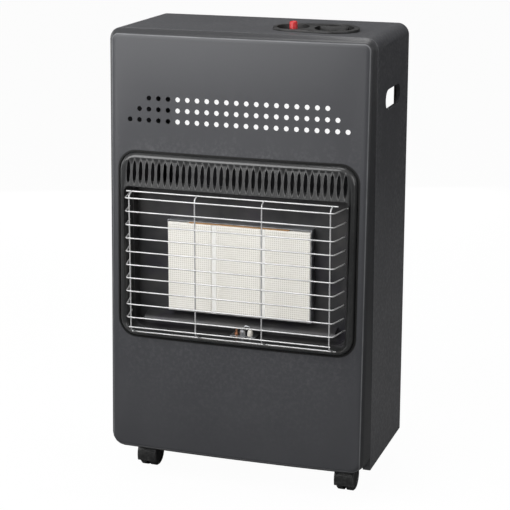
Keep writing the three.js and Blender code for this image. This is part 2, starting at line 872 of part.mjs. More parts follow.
function makePilotBracket() {
  const [x0, x1] = [thermocoupleX - 9, electrodeX + 10];
  const front = pilotY - 5;
  const back = openingY + 8;
  const shelf = box(x0, x1, front, back, pilotShelfZ, pilotShelfZ + sheet);
  const step = box(x0, x1, back - sheet, back, openingBottomZ + sheet + gap, pilotShelfZ + sheet);
  const foot = box(
    x0, x1, back - sheet, back + 6,
    openingBottomZ + sheet + gap, openingBottomZ + 2 * sheet + gap,
  );
  return join(shelf, step, foot).subtract(pilotHoles(gap, pilotShelfZ - 1, pilotShelfZ + 3));
}

const pilotSeatZ = pilotShelfZ + sheet + gap;

function makePilotBurner() {
  return lathe([
    [0, pilotShelfZ - pilotFootDrop],
    [pilotStem, pilotShelfZ - pilotFootDrop],
    [pilotStem, pilotSeatZ],
    [4.6, pilotSeatZ],
    [4.6, pilotSeatZ + 7],
    [3.6, pilotSeatZ + 8],
    [3.6, pilotSeatZ + 9.5],
    [0, pilotSeatZ + 9.5],
  ], 16, [pilotX, pilotY, 0]);
}

function makeElectrode() {
  const topSeat = pilotSeatZ + 9;
  return lathe([
    [0, pilotShelfZ - pilotFootDrop],
    [electrodeStem, pilotShelfZ - pilotFootDrop],
    [electrodeStem, pilotSeatZ],
    [4.2, pilotSeatZ],
    [4.2, pilotSeatZ + 6],
    [3.1, topSeat],
    [0, topSeat],
  ], 16, [electrodeX, pilotY, 0]);
}

function makeSparkRod() {
  const foot = pilotSeatZ + 9 + gap;
  return wire([
    [electrodeX, pilotY, foot],
    [electrodeX - 1, pilotY, foot + 5],
    [pilotX + 4, pilotY, foot + 6],
    [pilotX + 1.5, pilotY, foot + 3],
  ], 0.8, 3, 6, 3);
}

function makeThermocouple(route) {
  const tip = lathe([
    [0, pilotShelfZ - pilotFootDrop - 1],
    [thermocoupleStem, pilotShelfZ - pilotFootDrop - 1],
    [thermocoupleStem, pilotSeatZ],
    [3.2, pilotSeatZ],
    [3.2, pilotSeatZ + 3],
    [2.0, pilotSeatZ + 4],
    [1.6, pilotSeatZ + 10],
    [0, pilotSeatZ + 10.8],
  ], 12, [thermocoupleX, pilotY, 0]);
  return join(tip, wire(route, leadRadius - 0.3, 8, 6, 3));
}

// ---------------------------------------------------------------- console, knob, button

function consoleOutline(extra, kind) {
  const [a, b] = [buttonCup, knobCup];
  const rim = (cup) => (kind === 'rim' ? cup.rim : 0);
  const [ra, rb] = [a.radius + rim(a) + extra, b.radius + rim(b) + extra];
  const tilt = Math.asin((rb - ra) / (b.x - a.x));
  const upper = Math.PI / 2 + tilt;
  const shape = new THREE.Shape();
  shape.absarc(b.x, consoleY, rb, -upper, upper, false);
  shape.absarc(a.x, consoleY, ra, upper, 2 * Math.PI - upper, false);
  return shape;
}

const consoleBaseZ = topZ + gap;
const consoleTopZ = consoleBaseZ + consoleRise;
const cupFloor = (cup) => topZ + 2 - cup.depth;

function makeConsole() {
  const trim = flatPlate(consoleOutline(0, 'rim'), consoleBaseZ, consoleTopZ, 10);
  const parts = [trim];
  const cuts = [];
  for (const cup of [buttonCup, knobCup]) {
    const floor = cupFloor(cup);
    const centre = [cup.x, consoleY];
    parts.push(rod('z', cup.radius + cupWall, floor - cupWall, consoleBaseZ + 1, centre, 24));
    cuts.push(rod('z', cup.radius, floor, consoleTopZ + 1, centre, 24));
  }
  const through = [
    rod('z', igniterRadius - 1.5 + gap, topZ - holeReach, topZ + holeReach, [buttonCup.x, consoleY], 20),
    rod('z', spindleRadius + 2, topZ - holeReach, topZ + holeReach, [knobCup.x, consoleY], 20),
  ];
  const flat = join(...parts).subtract(join(...cuts, ...through));
  return reshape(flat, (p) => {
    if (p.z > consoleBaseZ + 0.1) p.z += (p.y - consoleY) * consoleTilt;
  });
}

const igniterFloor = cupFloor(buttonCup) - cupWall - gap;
const buttonFootZ = igniterFloor - 18;

function makeIgniterBody() {
  const neck = igniterRadius - 1.5;
  const bore = buttonRadius + gap;
  const neckTop = cupFloor(buttonCup) + 3.5;
  const boreFloor = buttonFootZ - buttonStroke - 1;
  return lathe([
    [0, igniterFloor - igniterLength],
    [igniterRadius, igniterFloor - igniterLength],
    [igniterRadius, igniterFloor - 2],
    [igniterRadius + 2, igniterFloor - 2],
    [igniterRadius + 2, igniterFloor],
    [neck, igniterFloor],
    [neck, neckTop],
    [bore, neckTop],
    [bore, boreFloor],
    [0, boreFloor],
  ], 20, [buttonCup.x, consoleY, 0]);
}

function makeIgniterNut() {
  const seat = cupFloor(buttonCup) + gap;
  const inner = igniterRadius - 1.5 + gap;
  return lathe([
    [inner, seat],
    [igniterRadius + 3, seat],
    [igniterRadius + 3, seat + 1.5],
    [igniterRadius + 1.8, seat + 2.6],
    [inner, seat + 2.6],
    [inner, seat],
  ], 20, [buttonCup.x, consoleY, 0]);
}

function makeButton() {
  const top = topZ + buttonRise;
  return lathe([
    [0, buttonFootZ],
    [buttonRadius, buttonFootZ],
    [buttonRadius, top - 1.5],
    [buttonRadius - 0.5, top - 0.5],
    [buttonRadius - 1.5, top],
    [buttonRadius - 2.5, top - 0.6],
    [0, top - 0.8],
  ], 20, [buttonCup.x, consoleY, 0]);
}

const knobFloor = cupFloor(knobCup);
const knobFootZ = knobFloor + knobStroke + 1;

function makeKnob() {
  const diskTop = knobFootZ + 6;
  const gripTop = topZ + knobRise;
  const disk = lathe([
    [0, knobFootZ],
    [knobRadius, knobFootZ],
    [knobRadius, diskTop - 1],
    [knobRadius - 1, diskTop],
    [0, diskTop + 0.5],
  ], 28);
  const outline = new THREE.Shape();
  const reach = knobRadius - 1.5;
  const r = gripWidth / 2;
  outline.absarc(reach - r, 0, r, -Math.PI / 2, Math.PI / 2, false);
  outline.absarc(-reach + r, 0, r, Math.PI / 2, (3 * Math.PI) / 2, false);
  const grip = flatPlate(outline, diskTop - 2, gripTop, 5);
  const bore = rod('z', spindleRadius + gap, knobFootZ - 1, knobFootZ + 9, [0, 0], 12);
  return join(disk, grip).subtract(bore);
}

const valveCollarZ = knobFloor - cupWall - gap;
const valveTopZ = valveCollarZ - 8;
const valveLowZ = valveTopZ - valveHeight;
const rotorLowZ = valveTopZ - 22;
const rotorTopZ = valveTopZ - 4 - gap;
const outletZ = valveLowZ + 10;
const inletZ = valveLowZ + 12;

function makeValve() {
  const [x, y] = [knobCup.x, consoleY];
  const [sideX, backY] = [x + valveWidth / 2, y + valveDepth / 2];
  const body = box(x - valveWidth / 2, sideX, y - valveDepth / 2, backY, valveLowZ, valveTopZ);
  const collar = rod('z', valveCollarRadius, valveTopZ - 1, valveCollarZ, [x, y], 20);
  const outletRadius = supplyRadius + 2;
  const outlet = rod('x', outletRadius, sideX - 1, sideX + outletLength, [y, outletZ], 12);
  const bore = rod('z', rotorRadius + gap, rotorLowZ - gap, rotorTopZ + gap, [x, y], 20);
  const neck = rod('z', spindleRadius + gap, rotorLowZ - 8, valveCollarZ + 1, [x, y], 12);
  const inlet = rod('y', inletRadius + gap, backY - inletDepth, backY + 1, [x, inletZ], 16);
  return join(body, collar, outlet).subtract(join(bore, neck, inlet));
}

function makeRotor() {
  return rod('z', rotorRadius, rotorLowZ, rotorTopZ, [0, 0], 20)
    .subtract(rod('z', spindleRadius + gap, rotorLowZ - 1, rotorTopZ + 1, [0, 0], 12));
}

function makeSpindle() {
  return rod('z', spindleRadius, rotorLowZ - 2, knobFootZ + 9 - gap, [0, 0], 12);
}

function makeHoseInlet() {
  const flange = inletRadius + 4;
  const [root, barb] = [inletRadius - 0.8, inletRadius + 0.2];
  const profile = [
    [0, gap - inletDepth],
    [inletRadius, gap - inletDepth],
    [inletRadius, gap],
    [flange, gap],
    [flange, 8],
    [inletRadius + 0.5, 9],
  ];
  const barbs = 4;
  for (let i = 0; i < barbs; i += 1) {
    const y = 11 + i * 5;
    profile.push([root, y], [barb, y + 0.5], [root, y + 4]);
  }
  const end = 11 + barbs * 5 + 2;
  profile.push([root - 0.6, end], [0, end]);
  const geometry = turned(profile, 12).rotateX(-Math.PI / 2);
  return facingOut(geometry.translate(knobCup.x, consoleY + valveDepth / 2, inletZ));
}

// ---------------------------------------------------------------- pipes and lead

function makeSupplyPipe() {
  const start = knobCup.x + valveWidth / 2 + outletLength + gap;
  return wire([
    [start, consoleY, outletZ],
    [pipeX, consoleY, outletZ],
    [pipeX, supplyRunY, outletZ - 40],
    [pipeX, supplyRunY, manifoldZ + 30],
    [pipeX, manifoldY, manifoldZ],
    [manifoldHalf + gap, manifoldY, manifoldZ],
  ], supplyRadius, 16, 8, 4);
}

function makePilotTube() {
  const side = pipeX - 10;
  const frontY = consoleY - valveDepth / 2 - gap;
  const runZ = manifoldZ + 13;
  return wire([
    [knobCup.x + 8, frontY, valveLowZ + 8],
    [knobCup.x + 8, pilotRunY, valveLowZ + 8],
    [side, pilotRunY, valveLowZ - 2],
    [side, pilotRunY, runZ],
    [side, -6, runZ],
    [pilotX, -6, runZ],
    [pilotX, pilotY, runZ],
    [pilotX, pilotY, pilotShelfZ - pilotFootDrop - gap],
  ], pilotTubeRadius, 9, 6, 3);
}

function thermocoupleRoute() {
  const side = pipeX - 17;
  const runZ = manifoldZ + 7;
  return [
    [thermocoupleX, pilotY, pilotShelfZ - pilotFootDrop],
    [thermocoupleX, pilotY, runZ],
    [thermocoupleX + 14, 0, runZ - 3],
    [side, 0, runZ - 3],
    [side, thermocoupleRunY, runZ + 10],
    [side, thermocoupleRunY, valveLowZ - 16],
    [knobCup.x, consoleY - 4, valveLowZ - 16],
    [knobCup.x, consoleY - 4, valveLowZ - gap],
  ];
}

function makeIgnitionLead() {
  const side = pipeX - 24;
  const startZ = igniterFloor - igniterLength - gap;
  const runZ = openingBottomZ + sheet - reflectorFlange - leadRadius - 1;
  return wire([
    [buttonCup.x, consoleY, startZ],
    [buttonCup.x, consoleY, startZ - 26],
    [side, leadRunY, startZ - 40],
    [side, leadRunY, runZ + 20],
    [side, -12, runZ],
    [electrodeX, -12, runZ],
    [electrodeX, pilotY, runZ],
    [electrodeX, pilotY, pilotShelfZ - pilotFootDrop - gap],
  ], leadRadius, 9, 6, 3);
}

// ---------------------------------------------------------------- base tray and rear cover

const rearY = cabinetDepth;
const coverBackY = rearY + coverDepth;
const channelFrontY = rearY + gap;
const coverFrontY = channelFrontY + plate + gap; // front face of the cover's side flanges
const coverFootZ = trayZ + 4.5;
const coverDepthInside = coverBackY - sheet; // front face of the cover's back

function trayOutline(inset) {
  const frontY = sheet + 2 * gap + inset;
  const sideX = innerHalf - gap - inset;
  const tailX = coverSideHalf - sheet - gap - inset;
  const tailBackX = coverBackHalf - sheet - gap - inset;
  const points = [
    [sideX, frontY],
    [sideX, rearY - sheet - gap - inset],
    [tailX, rearY - sheet - gap - inset],
    [tailX, coverFrontY + 2],
    [tailBackX, coverBackY - 2 * sheet - gap - inset],
  ];
  const mirrored = points.map(([x, y]) => [-x, y]).reverse();
  return shapeOf([...points, ...mirrored]);
}

function makeBaseTray() {
  const floor = flatPlate(trayOutline(0), trayZ, trayZ + plate);
  const wall = flatPlate(trayOutline(0), trayZ, trayZ + trayWall)
    .subtract(flatPlate(trayOutline(plate), trayZ - 1, trayZ + trayWall + 1));
  return join(floor, wall);
}

// the plan of the cover between its flanges, to the inside or the outside of its sheet
function coverPlan(frontY, backY, inset) {
  const slope = (coverBackHalf - coverSideHalf) / (coverDepthInside - coverFrontY);
  const shift = inset * Math.hypot(1, slope);
  const sideAt = (y) => coverSideHalf + slope * (y - coverFrontY) - shift;
  return [
    [sideAt(frontY), frontY],
    [sideAt(backY), backY],
    [-sideAt(backY), backY],
    [-sideAt(frontY), frontY],
  ];
}

function makeRearCover() {
  const reach = coverSideHalf + coverFlange;
  const back = coverFrontY + sheet;
  const outline = [
    [reach, coverFrontY],
    [reach, back],
    ...coverPlan(back, coverBackY, -sheet),
    [-reach, back],
    [-reach, coverFrontY],
  ];
  const below = coverFootZ - 1;
  const inside = coverPlan(coverFrontY - 1, coverDepthInside, 0);
  const mouth = coverPlan(coverFrontY - 1, coverDepthInside - coverHem, coverHem);
  const slots = [];
  for (let row = 0; row < coverSlotRows; row += 1) {
    for (let i = -2; i <= 2; i += 1) {
      const x = i * coverSlotPitch;
      const z = coverFootZ + 60 + row * 26;
      slots.push(box(x - 14, x + 14, coverBackY - 4, coverBackY + 1, z, z + 7));
    }
  }
  return flatPlate(shapeOf(outline), coverFootZ, coverTopZ)
    .subtract(flatPlate(shapeOf(inside), below, coverTopZ - sheet))
    .subtract(flatPlate(shapeOf(mouth), coverTopZ - 2 * sheet, coverTopZ + 1))
    .subtract(join(...slots));
}

function makeChannel(side) {
  const inner = coverSideHalf + 4;
  const span = (near, far) => (side > 0 ? [near, far] : [-far, -near]);
  const [front, back] = [channelFrontY, channelFrontY + channelDepth];
  const [low, high] = [coverFootZ - gap - plate, coverTopZ - 12];
  const whole = box(...span(inner, inner + channelWidth), front, back, low, high);
  const groove = box(
    ...span(inner - 1, coverSideHalf + coverFlange + 2 * gap),
    front + plate, back - plate, low + plate, high + 1,
  );
  return whole.subtract(groove);
}

// ---------------------------------------------------------------- castors

const castorPlateZ = trayZ - gap - castorPlateThick;
const pinLowZ = castorPlateZ - 7;
const hoodInner = wheelRadius + hoodGap;
const hoodOuter = hoodInner + hoodWall;
const castorHalf = webHalf + 2 * gap + wheelWidth;

function makeCastorPlate() {
  const r = castorPlate / 2;
  const corner = 5;
  const shape = shapeOf(ringPoints(-r, r, -r, r, corner, corner, 3));
  const pin = rod('z', pinRadius, pinLowZ, castorPlateZ + 1, [0, 0], 16);
  return join(flatPlate(shape, castorPlateZ, castorPlateZ + castorPlateThick), pin);
}

// drawn with the pin on the Z axis and the wheels behind it
function makeCastorHood() {
  const [y, z] = [castorTrail, wheelRadius];
  const disk = (r, x0, x1) => rod('x', r, x0, x1, [y, z], 24);
  const wellHalf = castorHalf + gap;
  const cheek = wellHalf + 1.2;
  const wells = join(disk(hoodInner, -wellHalf, -webHalf), disk(hoodInner, webHalf, wellHalf));
  const cheekHole = disk(wheelRadius * 0.82, -cheek - 1, cheek + 1);
  const reach = hoodOuter + 1;
  const behind = box(-cheek - 1, cheek + 1, y + 2, y + reach, z - reach, z + 6);
  const below = box(-cheek - 1, cheek + 1, y - reach, y + reach, z - reach, z - 9);
  const shell = disk(hoodOuter, -cheek, cheek)
    .subtract(join(disk(hoodInner, -wellHalf, wellHalf), cheekHole, behind, below));
  const webBehind = box(-cheek, cheek, y + 7, y + reach, z - reach, z + 12);
  const web = disk(hoodInner + 0.5, -webHalf, webHalf).subtract(join(webBehind, below));
  const socketTop = castorPlateZ - gap;
  const socket = rod('z', pinRadius + 4, z + 12, socketTop, [0, 0], 20).subtract(wells);
  const pinBore = rod('z', pinRadius + gap, pinLowZ - gap, socketTop + 1, [0, 0], 16);
  const axleBore = disk(axleRadius + gap, -webHalf - 1, webHalf + 1);
  return join(shell, web, socket).subtract(join(pinBore, axleBore));
}

// drawn with the axle on the X axis
function makeWheels() {
  const tread = turned([
    [axleRadius - 0.5, 0],
    [wheelRadius, 0],
    [wheelRadius, wheelWidth - 2],
    [wheelRadius - 2, wheelWidth],
    [wheelRadius - 5, wheelWidth],
    [wheelRadius - 6, wheelWidth - 1.5],
    [0, wheelWidth - 1.5],
    [0, 0],
    [axleRadius - 0.5, 0],
  ], 20);
  tread.rotateY(Math.PI / 2);
  tread.translate(webHalf + gap, 0, 0);
  const axle = rod('x', axleRadius, -webHalf - 1, webHalf + 1, [0, 0], 16);
  return join(facingOut(tread), facingOut(tread.clone().scale(-1, 1, 1)), axle);
}

// ---------------------------------------------------------------- assembly

add('cabinet_shell', makeCabinetShell(), finishes.charcoal());
add('front_panel', makeFrontPanel(), finishes.charcoal());
add('burner_surround', makeSurround(), finishes.enamel());
add('wire_guard', makeWireGuard(), finishes.chrome());
add('reflector_box', makeReflectorBox(), finishes.soot());
add('deflector_shelf', makeDeflectorShelf(), finishes.soot());
add('burner_frame', makeBurnerFrame(), finishes.zinc());

['left', 'middle', 'right'].forEach((place, i) => {
  const x = (i - 1) * plaquePitch;
  add(`plaque_${place}`, makePlaque(), finishes.ceramic(), [x, plaqueFrontY, plaqueBottomZ]);
  add(`burner_${place}`, makeBurnerBox(), finishes.zinc(), [x, 0, 0]);
  add(`injector_${place}`, makeInjector(), finishes.brass(), [x, manifoldY, manifoldZ]);
});

['left', 'right'].forEach((place, i) => {
  const x = (i - 0.5) * plaquePitch;
  const seal = box(
    x - sealWidth / 2, x + sealWidth / 2, plaqueFrontY + 0.5, plaqueBackY, plaqueBottomZ, plaqueTopZ,
  );
  add(`seal_${place}`, seal, finishes.fibre());
});

add('seal_top', box(
  -topSealLength / 2, topSealLength / 2, plaqueFrontY + 0.5, plaqueBackY,
  plaqueTopZ + gap, plaqueTopZ + gap + topSealHeight,
), finishes.tanFibre());

add('gas_manifold', makeManifold(), finishes.zinc());
add('pilot_bracket', makePilotBracket(), finishes.zinc());
add('pilot_burner', makePilotBurner(), finishes.zinc());
add('electrode', makeElectrode(), finishes.porcelain());
add('spark_rod', makeSparkRod(), finishes.zinc());
add('thermocouple', makeThermocouple(thermocoupleRoute()), finishes.copper());

add('control_console', makeConsole(), finishes.blackPlastic());
add('igniter_body', makeIgniterBody(), finishes.blackPlastic());
add('igniter_nut', makeIgniterNut(), finishes.blackPlastic());
add('igniter_button', makeButton(), finishes.redPlastic());
add('control_knob', makeKnob(), finishes.blackPlastic(), [knobCup.x, consoleY, 0]);
add('gas_valve', makeValve(), finishes.brass());
add('valve_rotor', makeRotor(), finishes.brass(), [knobCup.x, consoleY, 0]);
add('valve_spindle', makeSpindle(), finishes.zinc(), [knobCup.x, consoleY, 0]);
add('hose_inlet', makeHoseInlet(), finishes.brass());
add('supply_pipe', makeSupplyPipe(), finishes.copper());
add('pilot_tube', makePilotTube(), finishes.copper());
add('ignition_lead', makeIgnitionLead(), finishes.rubber());

add('base_tray', makeBaseTray(), finishes.zinc());
add('rear_cover', makeRearCover(), finishes.charcoal());
add('cover_channel_left', makeChannel(-1), finishes.zinc());
add('cover_channel_right', makeChannel(1), finishes.zinc());

for (const [row, reach, y] of [
  ['front', castorX, castorY],
  ['rear', castorRearX, cabinetDepth + castorRearReach],
]) {
  for (const [place, side] of [['left', -1], ['right', 1]]) {
    const x = side * reach;
    add(`castor_plate_${row}_${place}`, makeCastorPlate(), finishes.zinc(), [x, y, 0]);
    add(`castor_hood_${row}_${place}`, makeCastorHood(), finishes.blackPlastic(), [x, y, 0]);
    add(
      `castor_wheels_${row}_${place}`, makeWheels(), finishes.rubber(), [x, y + castorTrail, wheelRadius],
    );
  }
}

const bounds = new THREE.Box3().setFromObject(group);
const middleY = (bounds.min.y + bounds.max.y) / 2;
for (const piece of group.children) {
  piece.position.y -= middleY;
}

export default group;
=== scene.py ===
"""Looks of the portable gas cabinet heater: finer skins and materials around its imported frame."""

import json
import math

import bmesh
import bpy
from mathutils import Matrix, Vector

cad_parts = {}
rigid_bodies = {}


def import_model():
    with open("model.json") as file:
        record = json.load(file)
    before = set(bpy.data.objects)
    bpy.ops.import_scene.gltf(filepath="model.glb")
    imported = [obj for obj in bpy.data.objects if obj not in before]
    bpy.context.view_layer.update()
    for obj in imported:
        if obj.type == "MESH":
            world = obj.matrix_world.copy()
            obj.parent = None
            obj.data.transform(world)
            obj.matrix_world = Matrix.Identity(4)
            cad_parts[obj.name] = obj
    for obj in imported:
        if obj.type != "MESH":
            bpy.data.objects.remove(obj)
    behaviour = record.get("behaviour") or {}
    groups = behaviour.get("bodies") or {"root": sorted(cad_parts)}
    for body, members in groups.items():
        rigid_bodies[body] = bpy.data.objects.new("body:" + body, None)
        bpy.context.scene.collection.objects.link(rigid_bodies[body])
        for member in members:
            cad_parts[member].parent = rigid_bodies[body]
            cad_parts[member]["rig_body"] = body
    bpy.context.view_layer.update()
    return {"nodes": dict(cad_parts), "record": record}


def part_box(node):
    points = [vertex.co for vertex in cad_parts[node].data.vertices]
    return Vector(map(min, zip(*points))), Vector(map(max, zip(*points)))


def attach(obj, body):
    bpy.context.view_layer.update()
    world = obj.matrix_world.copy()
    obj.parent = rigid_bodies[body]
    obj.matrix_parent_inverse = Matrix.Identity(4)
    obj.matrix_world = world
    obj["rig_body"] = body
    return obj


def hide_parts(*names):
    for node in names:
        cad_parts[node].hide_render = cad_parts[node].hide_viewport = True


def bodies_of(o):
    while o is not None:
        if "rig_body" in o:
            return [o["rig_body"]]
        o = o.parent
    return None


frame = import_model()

nodes = frame["nodes"]
body_of = {}
for node_name, node_object in nodes.items():
    body_of[node_name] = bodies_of(node_object)[0]
slot_of = {part["node"]: part["material_slot"] for part in frame["record"]["subparts"]}

# ------------------------------------------------------------ sizes, in millimetres
# Y is counted from the seam between the panel and the cabinet, as the CAD source counts it

MM = 0.001

HALF_WIDTH = 210.0
TOP_Z = 716.0
BOTTOM_Z = 49.5
CORNER_RADIUS = 18.0

PANEL_DEPTH_TOP = 12.5
PANEL_DEPTH_BOTTOM = 36.0
PANEL_BOW = 5.3
PANEL_INSET = 7.4  # from the panel's outline in to its face

SURROUND_WIDTH = 379.0
SURROUND_HEIGHT = 290.5
SURROUND_Z = 384.75
SURROUND_RADIUS = 28.0
OPENING_HALF = 171.5

LOUVRE_COUNT = 35
LOUVRE_PITCH = 10.1
LOUVRE_WIDTH = 6.6
LOUVRE_HEIGHT = 37.0
LOUVRE_Z = 499.5
RIDGE_CREST = 1.08  # as a share of the slot's own size
RIDGE_FOOT = 1.22
RIDGE_FADE = 4.0  # past the last slot

# painted shade and painted highlights on the paint: each is full at the first distance and gone at the
# second
JOINT_SHADE = (1.8, 3.2)  # painted shade of the joint, outside the surround
FOLD_SHADE = (7.5, 9.0)  # painted shade on the rounded edge, inside the panel's outline
CREASE_REACH = (0.0, 2.0)  # painted highlight on the cabinet's crease, inside the cabinet's outline
SEAM_FADE = 1.0  # from the seam forward
CREST_INWARD = 1.0  # from the face's border to the middle of its painted highlight line
CREST_HALF = 1.1
CREASE_BEHIND = 1.0  # from the seam back to the middle of the cabinet's painted highlight line
CREASE_HALF = 0.9

PORT_PITCH = 3.3

WIRE_RADIUS = 1.1
WIRE_BEND = 4.0
GUARD_WIRES = 10
GUARD_PITCH = 20.9
GUARD_HALF = 164.0
GUARD_FRONT_Y = -61.6
LEG_X = 172.0
LEG_GAP = 1.0  # ahead of the panel's face
HOOK_TOP_Z = 466.0
HOOK_LENGTH = 9.0
HOOK_DEPTH = 5.0  # behind the panel's face
TOP_WIRE_HALF, TOP_WIRE_Y, TOP_WIRE_RISE = 167.0, -49.0, 8.0
LOW_WIRE_HALF, LOW_WIRE_DROP = 161.0, 15.5
FOOT_WIRE_HALF, FOOT_WIRE_Y, FOOT_WIRE_DROP = 164.0, -42.0, 13.0
UPRIGHTS = 4
UPRIGHT_PITCH = 105.6
UPRIGHT_PAST = 4.0  # beyond the outermost wires across
WELD_SINK = 0.65  # of one wire into the other

SHARP_ANGLE = 38.0  # in degrees: a steeper edge stays sharp
FLAT_ANGLE = 0.4
MERGE_DISTANCE = 0.002
EDGE_BREAKS = {
    "control_console": 0.5, "control_knob": 0.7, "deflector_shelf": 0.3,
    "burner_frame": 0.2, "pilot_bracket": 0.2, "gas_valve": 0.6,
}

CAMERA_PLACE = (785.62, -2298.24, 1023.7)
CAMERA_TURN = (18.197, 13.805, 0.13)  # azimuth, pitch and roll in degrees
FRAME_PIXELS = 510
FOCAL_PIXELS = 1642.12
CENTRE_PIXELS = (259.69, 222.0)

seam_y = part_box("front_panel")[1].y / MM  # the panel's rear edge lies on the seam


def place(x, y, z):
    """A point given in millimetres, with Y from the seam, in the frame's metres."""
    return Vector((x, y + seam_y, z)) * MM


def face_y(x, z):
    """The panel's leaning, slightly bowed face, from the seam."""
    top, bottom = TOP_Z - PANEL_INSET, BOTTOM_Z + PANEL_INSET
    down = min(max((top - z) / (top - bottom), 0), 1)
    across = min(abs(x) / HALF_WIDTH, 1)
    lean = PANEL_DEPTH_TOP + (PANEL_DEPTH_BOTTOM - PANEL_DEPTH_TOP) * down
    return -(lean + PANEL_BOW * (1 - across * across))


# ------------------------------------------------------------ node tools


def put(tree, kind, settings=None, **inputs):
    """Adds a node. Each input is a value or a socket to link, named with _ for a space or i and a number."""
    node = tree.nodes.new(kind)
    for key, value in (settings or {}).items():
        setattr(node, key, value)
    for key, value in inputs.items():
        socket = node.inputs[int(key[1:])] if key[1:].isdigit() else node.inputs[key.replace("_", " ")]
        if isinstance(value, bpy.types.NodeSocket):
            tree.links.new(value, socket)
        else:
            socket.default_value = value
    return node


def calc(tree, operation, a, b=0.0, clamp=False):
    settings = {"operation": operation, "use_clamp": clamp}
    return put(tree, "ShaderNodeMath", settings, i0=a, i1=b).outputs[0]


def spread(tree, value, low, high, to_low=0.0, to_high=1.0):
    """The value's stretch from low to high, laid out from to_low to to_high and held beyond."""
    return put(
        tree, "ShaderNodeMapRange", None,
        Value=value, From_Min=low, From_Max=high, To_Min=to_low, To_Max=to_high,
    ).outputs[0]


def noise(tree, vector, scale, detail=3.0, roughness=0.55):
    return put(
        tree, "ShaderNodeTexNoise", None,
        Vector=vector, Scale=scale, Detail=detail, Roughness=roughness,
    ).outputs["Fac"]


def axes_of(tree, vector):
    return put(tree, "ShaderNodeSeparateXYZ", None, Vector=vector).outputs


def blend_numbers(tree, mask, first, second):
    return put(tree, "ShaderNodeMix", {"data_type": "FLOAT"}, i0=mask, i2=first, i3=second).outputs[0]


def blend_colours(tree, mask, first, second, share=1.0):
    """The second colour over the first where the mask is one, at the given share of its strength."""
    if share < 1.0:
        mask = calc(tree, "MULTIPLY", mask, share)
    return put(tree, "ShaderNodeMix", {"data_type": "RGBA"}, i0=mask, i6=first, i7=second).outputs[2]


def rgba(red, green, blue):
    return (red, green, blue, 1.0)


def grey(level):
    return rgba(level, level, level)


# ------------------------------------------------------------ shared effects

NUMBER = "NodeSocketFloat"
VECTOR = "NodeSocketVector"


def new_group(name, inputs, outputs):
    tree = bpy.data.node_groups.new(name, "ShaderNodeTree")
    for label, kind, value in inputs:
        socket = tree.interface.new_socket(name=label, in_out="INPUT", socket_type=kind)
        if value is not None:
            socket.default_value = value
    for label, kind in outputs:
        tree.interface.new_socket(name=label, in_out="OUTPUT", socket_type=kind)
    entry = tree.nodes.new("NodeGroupInput")
    leave = tree.nodes.new("NodeGroupOutput")
    return tree, entry.outputs, leave.inputs


def make_grain():
    """Fine pits and bumps, such as powder coat's orange peel or moulded grain."""
    tree, given, out = new_group(
        "fine_grain",
        [("Vector", VECTOR, None), ("Size", NUMBER, 0.8), ("Softness", NUMBER, 0.5)],
        [("Height", NUMBER), ("Mask", NUMBER)],
    )
    scale = calc(tree, "DIVIDE", 1.0 / MM, given["Size"])
    fine = noise(tree, given["Vector"], scale, 2.0, 0.5)
    coarse = noise(tree, given["Vector"], calc(tree, "MULTIPLY", scale, 0.23), 2.0, 0.5)
    tree.links.new(blend_numbers(tree, given["Softness"], fine, coarse), out["Height"])
    tree.links.new(spread(tree, fine, 0.62, 0.75), out["Mask"])
    return tree


def make_smudges():
    """Wide soft marks and upright streaks that change the gloss and the shade a little."""
    tree, given, out = new_group(
        "smudges",
        [("Vector", VECTOR, None), ("Size", NUMBER, 120.0)],
        [("Value", NUMBER), ("Streaks", NUMBER)],
    )
    scale = calc(tree, "DIVIDE", 1.0 / MM, given["Size"])
    wide = noise(tree, given["Vector"], scale, 5.0, 0.6)
    tree.links.new(spread(tree, wide, 0.3, 0.7), out["Value"])
    stretched = put(
        tree, "ShaderNodeMapping", None, Vector=given["Vector"], Scale=(1.0, 1.0, 0.06),
    ).outputs[0]
    streak = noise(tree, stretched, calc(tree, "MULTIPLY", scale, 14.0), 3.0, 0.6)
    tree.links.new(spread(tree, streak, 0.35, 0.75), out["Streaks"])
    return tree


def make_dust():
    """Settled dust: more on faces that look up, broken by noise."""
    tree, given, out = new_group(
        "dust", [("Vector", VECTOR, None), ("Amount", NUMBER, 0.3)], [("Mask", NUMBER)],
    )
    normal = tree.nodes.new("ShaderNodeNewGeometry").outputs["Normal"]
    level = spread(tree, axes_of(tree, normal)["Z"], 0.5, 1.0)
    specks = spread(tree, noise(tree, given["Vector"], 260.0, 6.0, 0.7), 0.42, 0.75)
    mask = calc(tree, "MULTIPLY", calc(tree, "MULTIPLY", level, specks), given["Amount"], True)
    tree.links.new(mask, out["Mask"])
    return tree


def make_wear_and_sheen():
    """A finish rubbed thin along outer edges; on the black enamel the same mask lays a painted highlight
    along the edges.
    """
    tree, given, out = new_group(
        "edge_wear_and_sheen", [("Vector", VECTOR, None), ("Amount", NUMBER, 0.5)], [("Mask", NUMBER)],
    )
    point = tree.nodes.new("ShaderNodeNewGeometry").outputs["Pointiness"]
    edge = spread(tree, point, 0.53, 0.62)
    broken = spread(tree, noise(tree, given["Vector"], 180.0, 5.0, 0.65), 0.45, 0.7)
    mask = calc(tree, "MULTIPLY", calc(tree, "MULTIPLY", edge, broken), given["Amount"], True)
    tree.links.new(mask, out["Mask"])
    return tree


def make_crevice_shade():
    """Painted shade where two pieces meet and in corners, from how open the surface is to the sky, made
    uneven by noise.
    """
    tree, given, out = new_group(
        "crevice_shade", [("Vector", VECTOR, None), ("Reach", NUMBER, 5.0)], [("Mask", NUMBER)],
    )
    reach = calc(tree, "MULTIPLY", given["Reach"], MM)
    open_sky = put(tree, "ShaderNodeAmbientOcclusion", {"samples": 8}, Distance=reach).outputs["AO"]
    uneven = calc(tree, "MULTIPLY", noise(tree, given["Vector"], 150.0, 3.0), 0.2)
    tree.links.new(spread(tree, calc(tree, "ADD", open_sky, uneven), 0.72, 0.36), out["Mask"])
    return tree


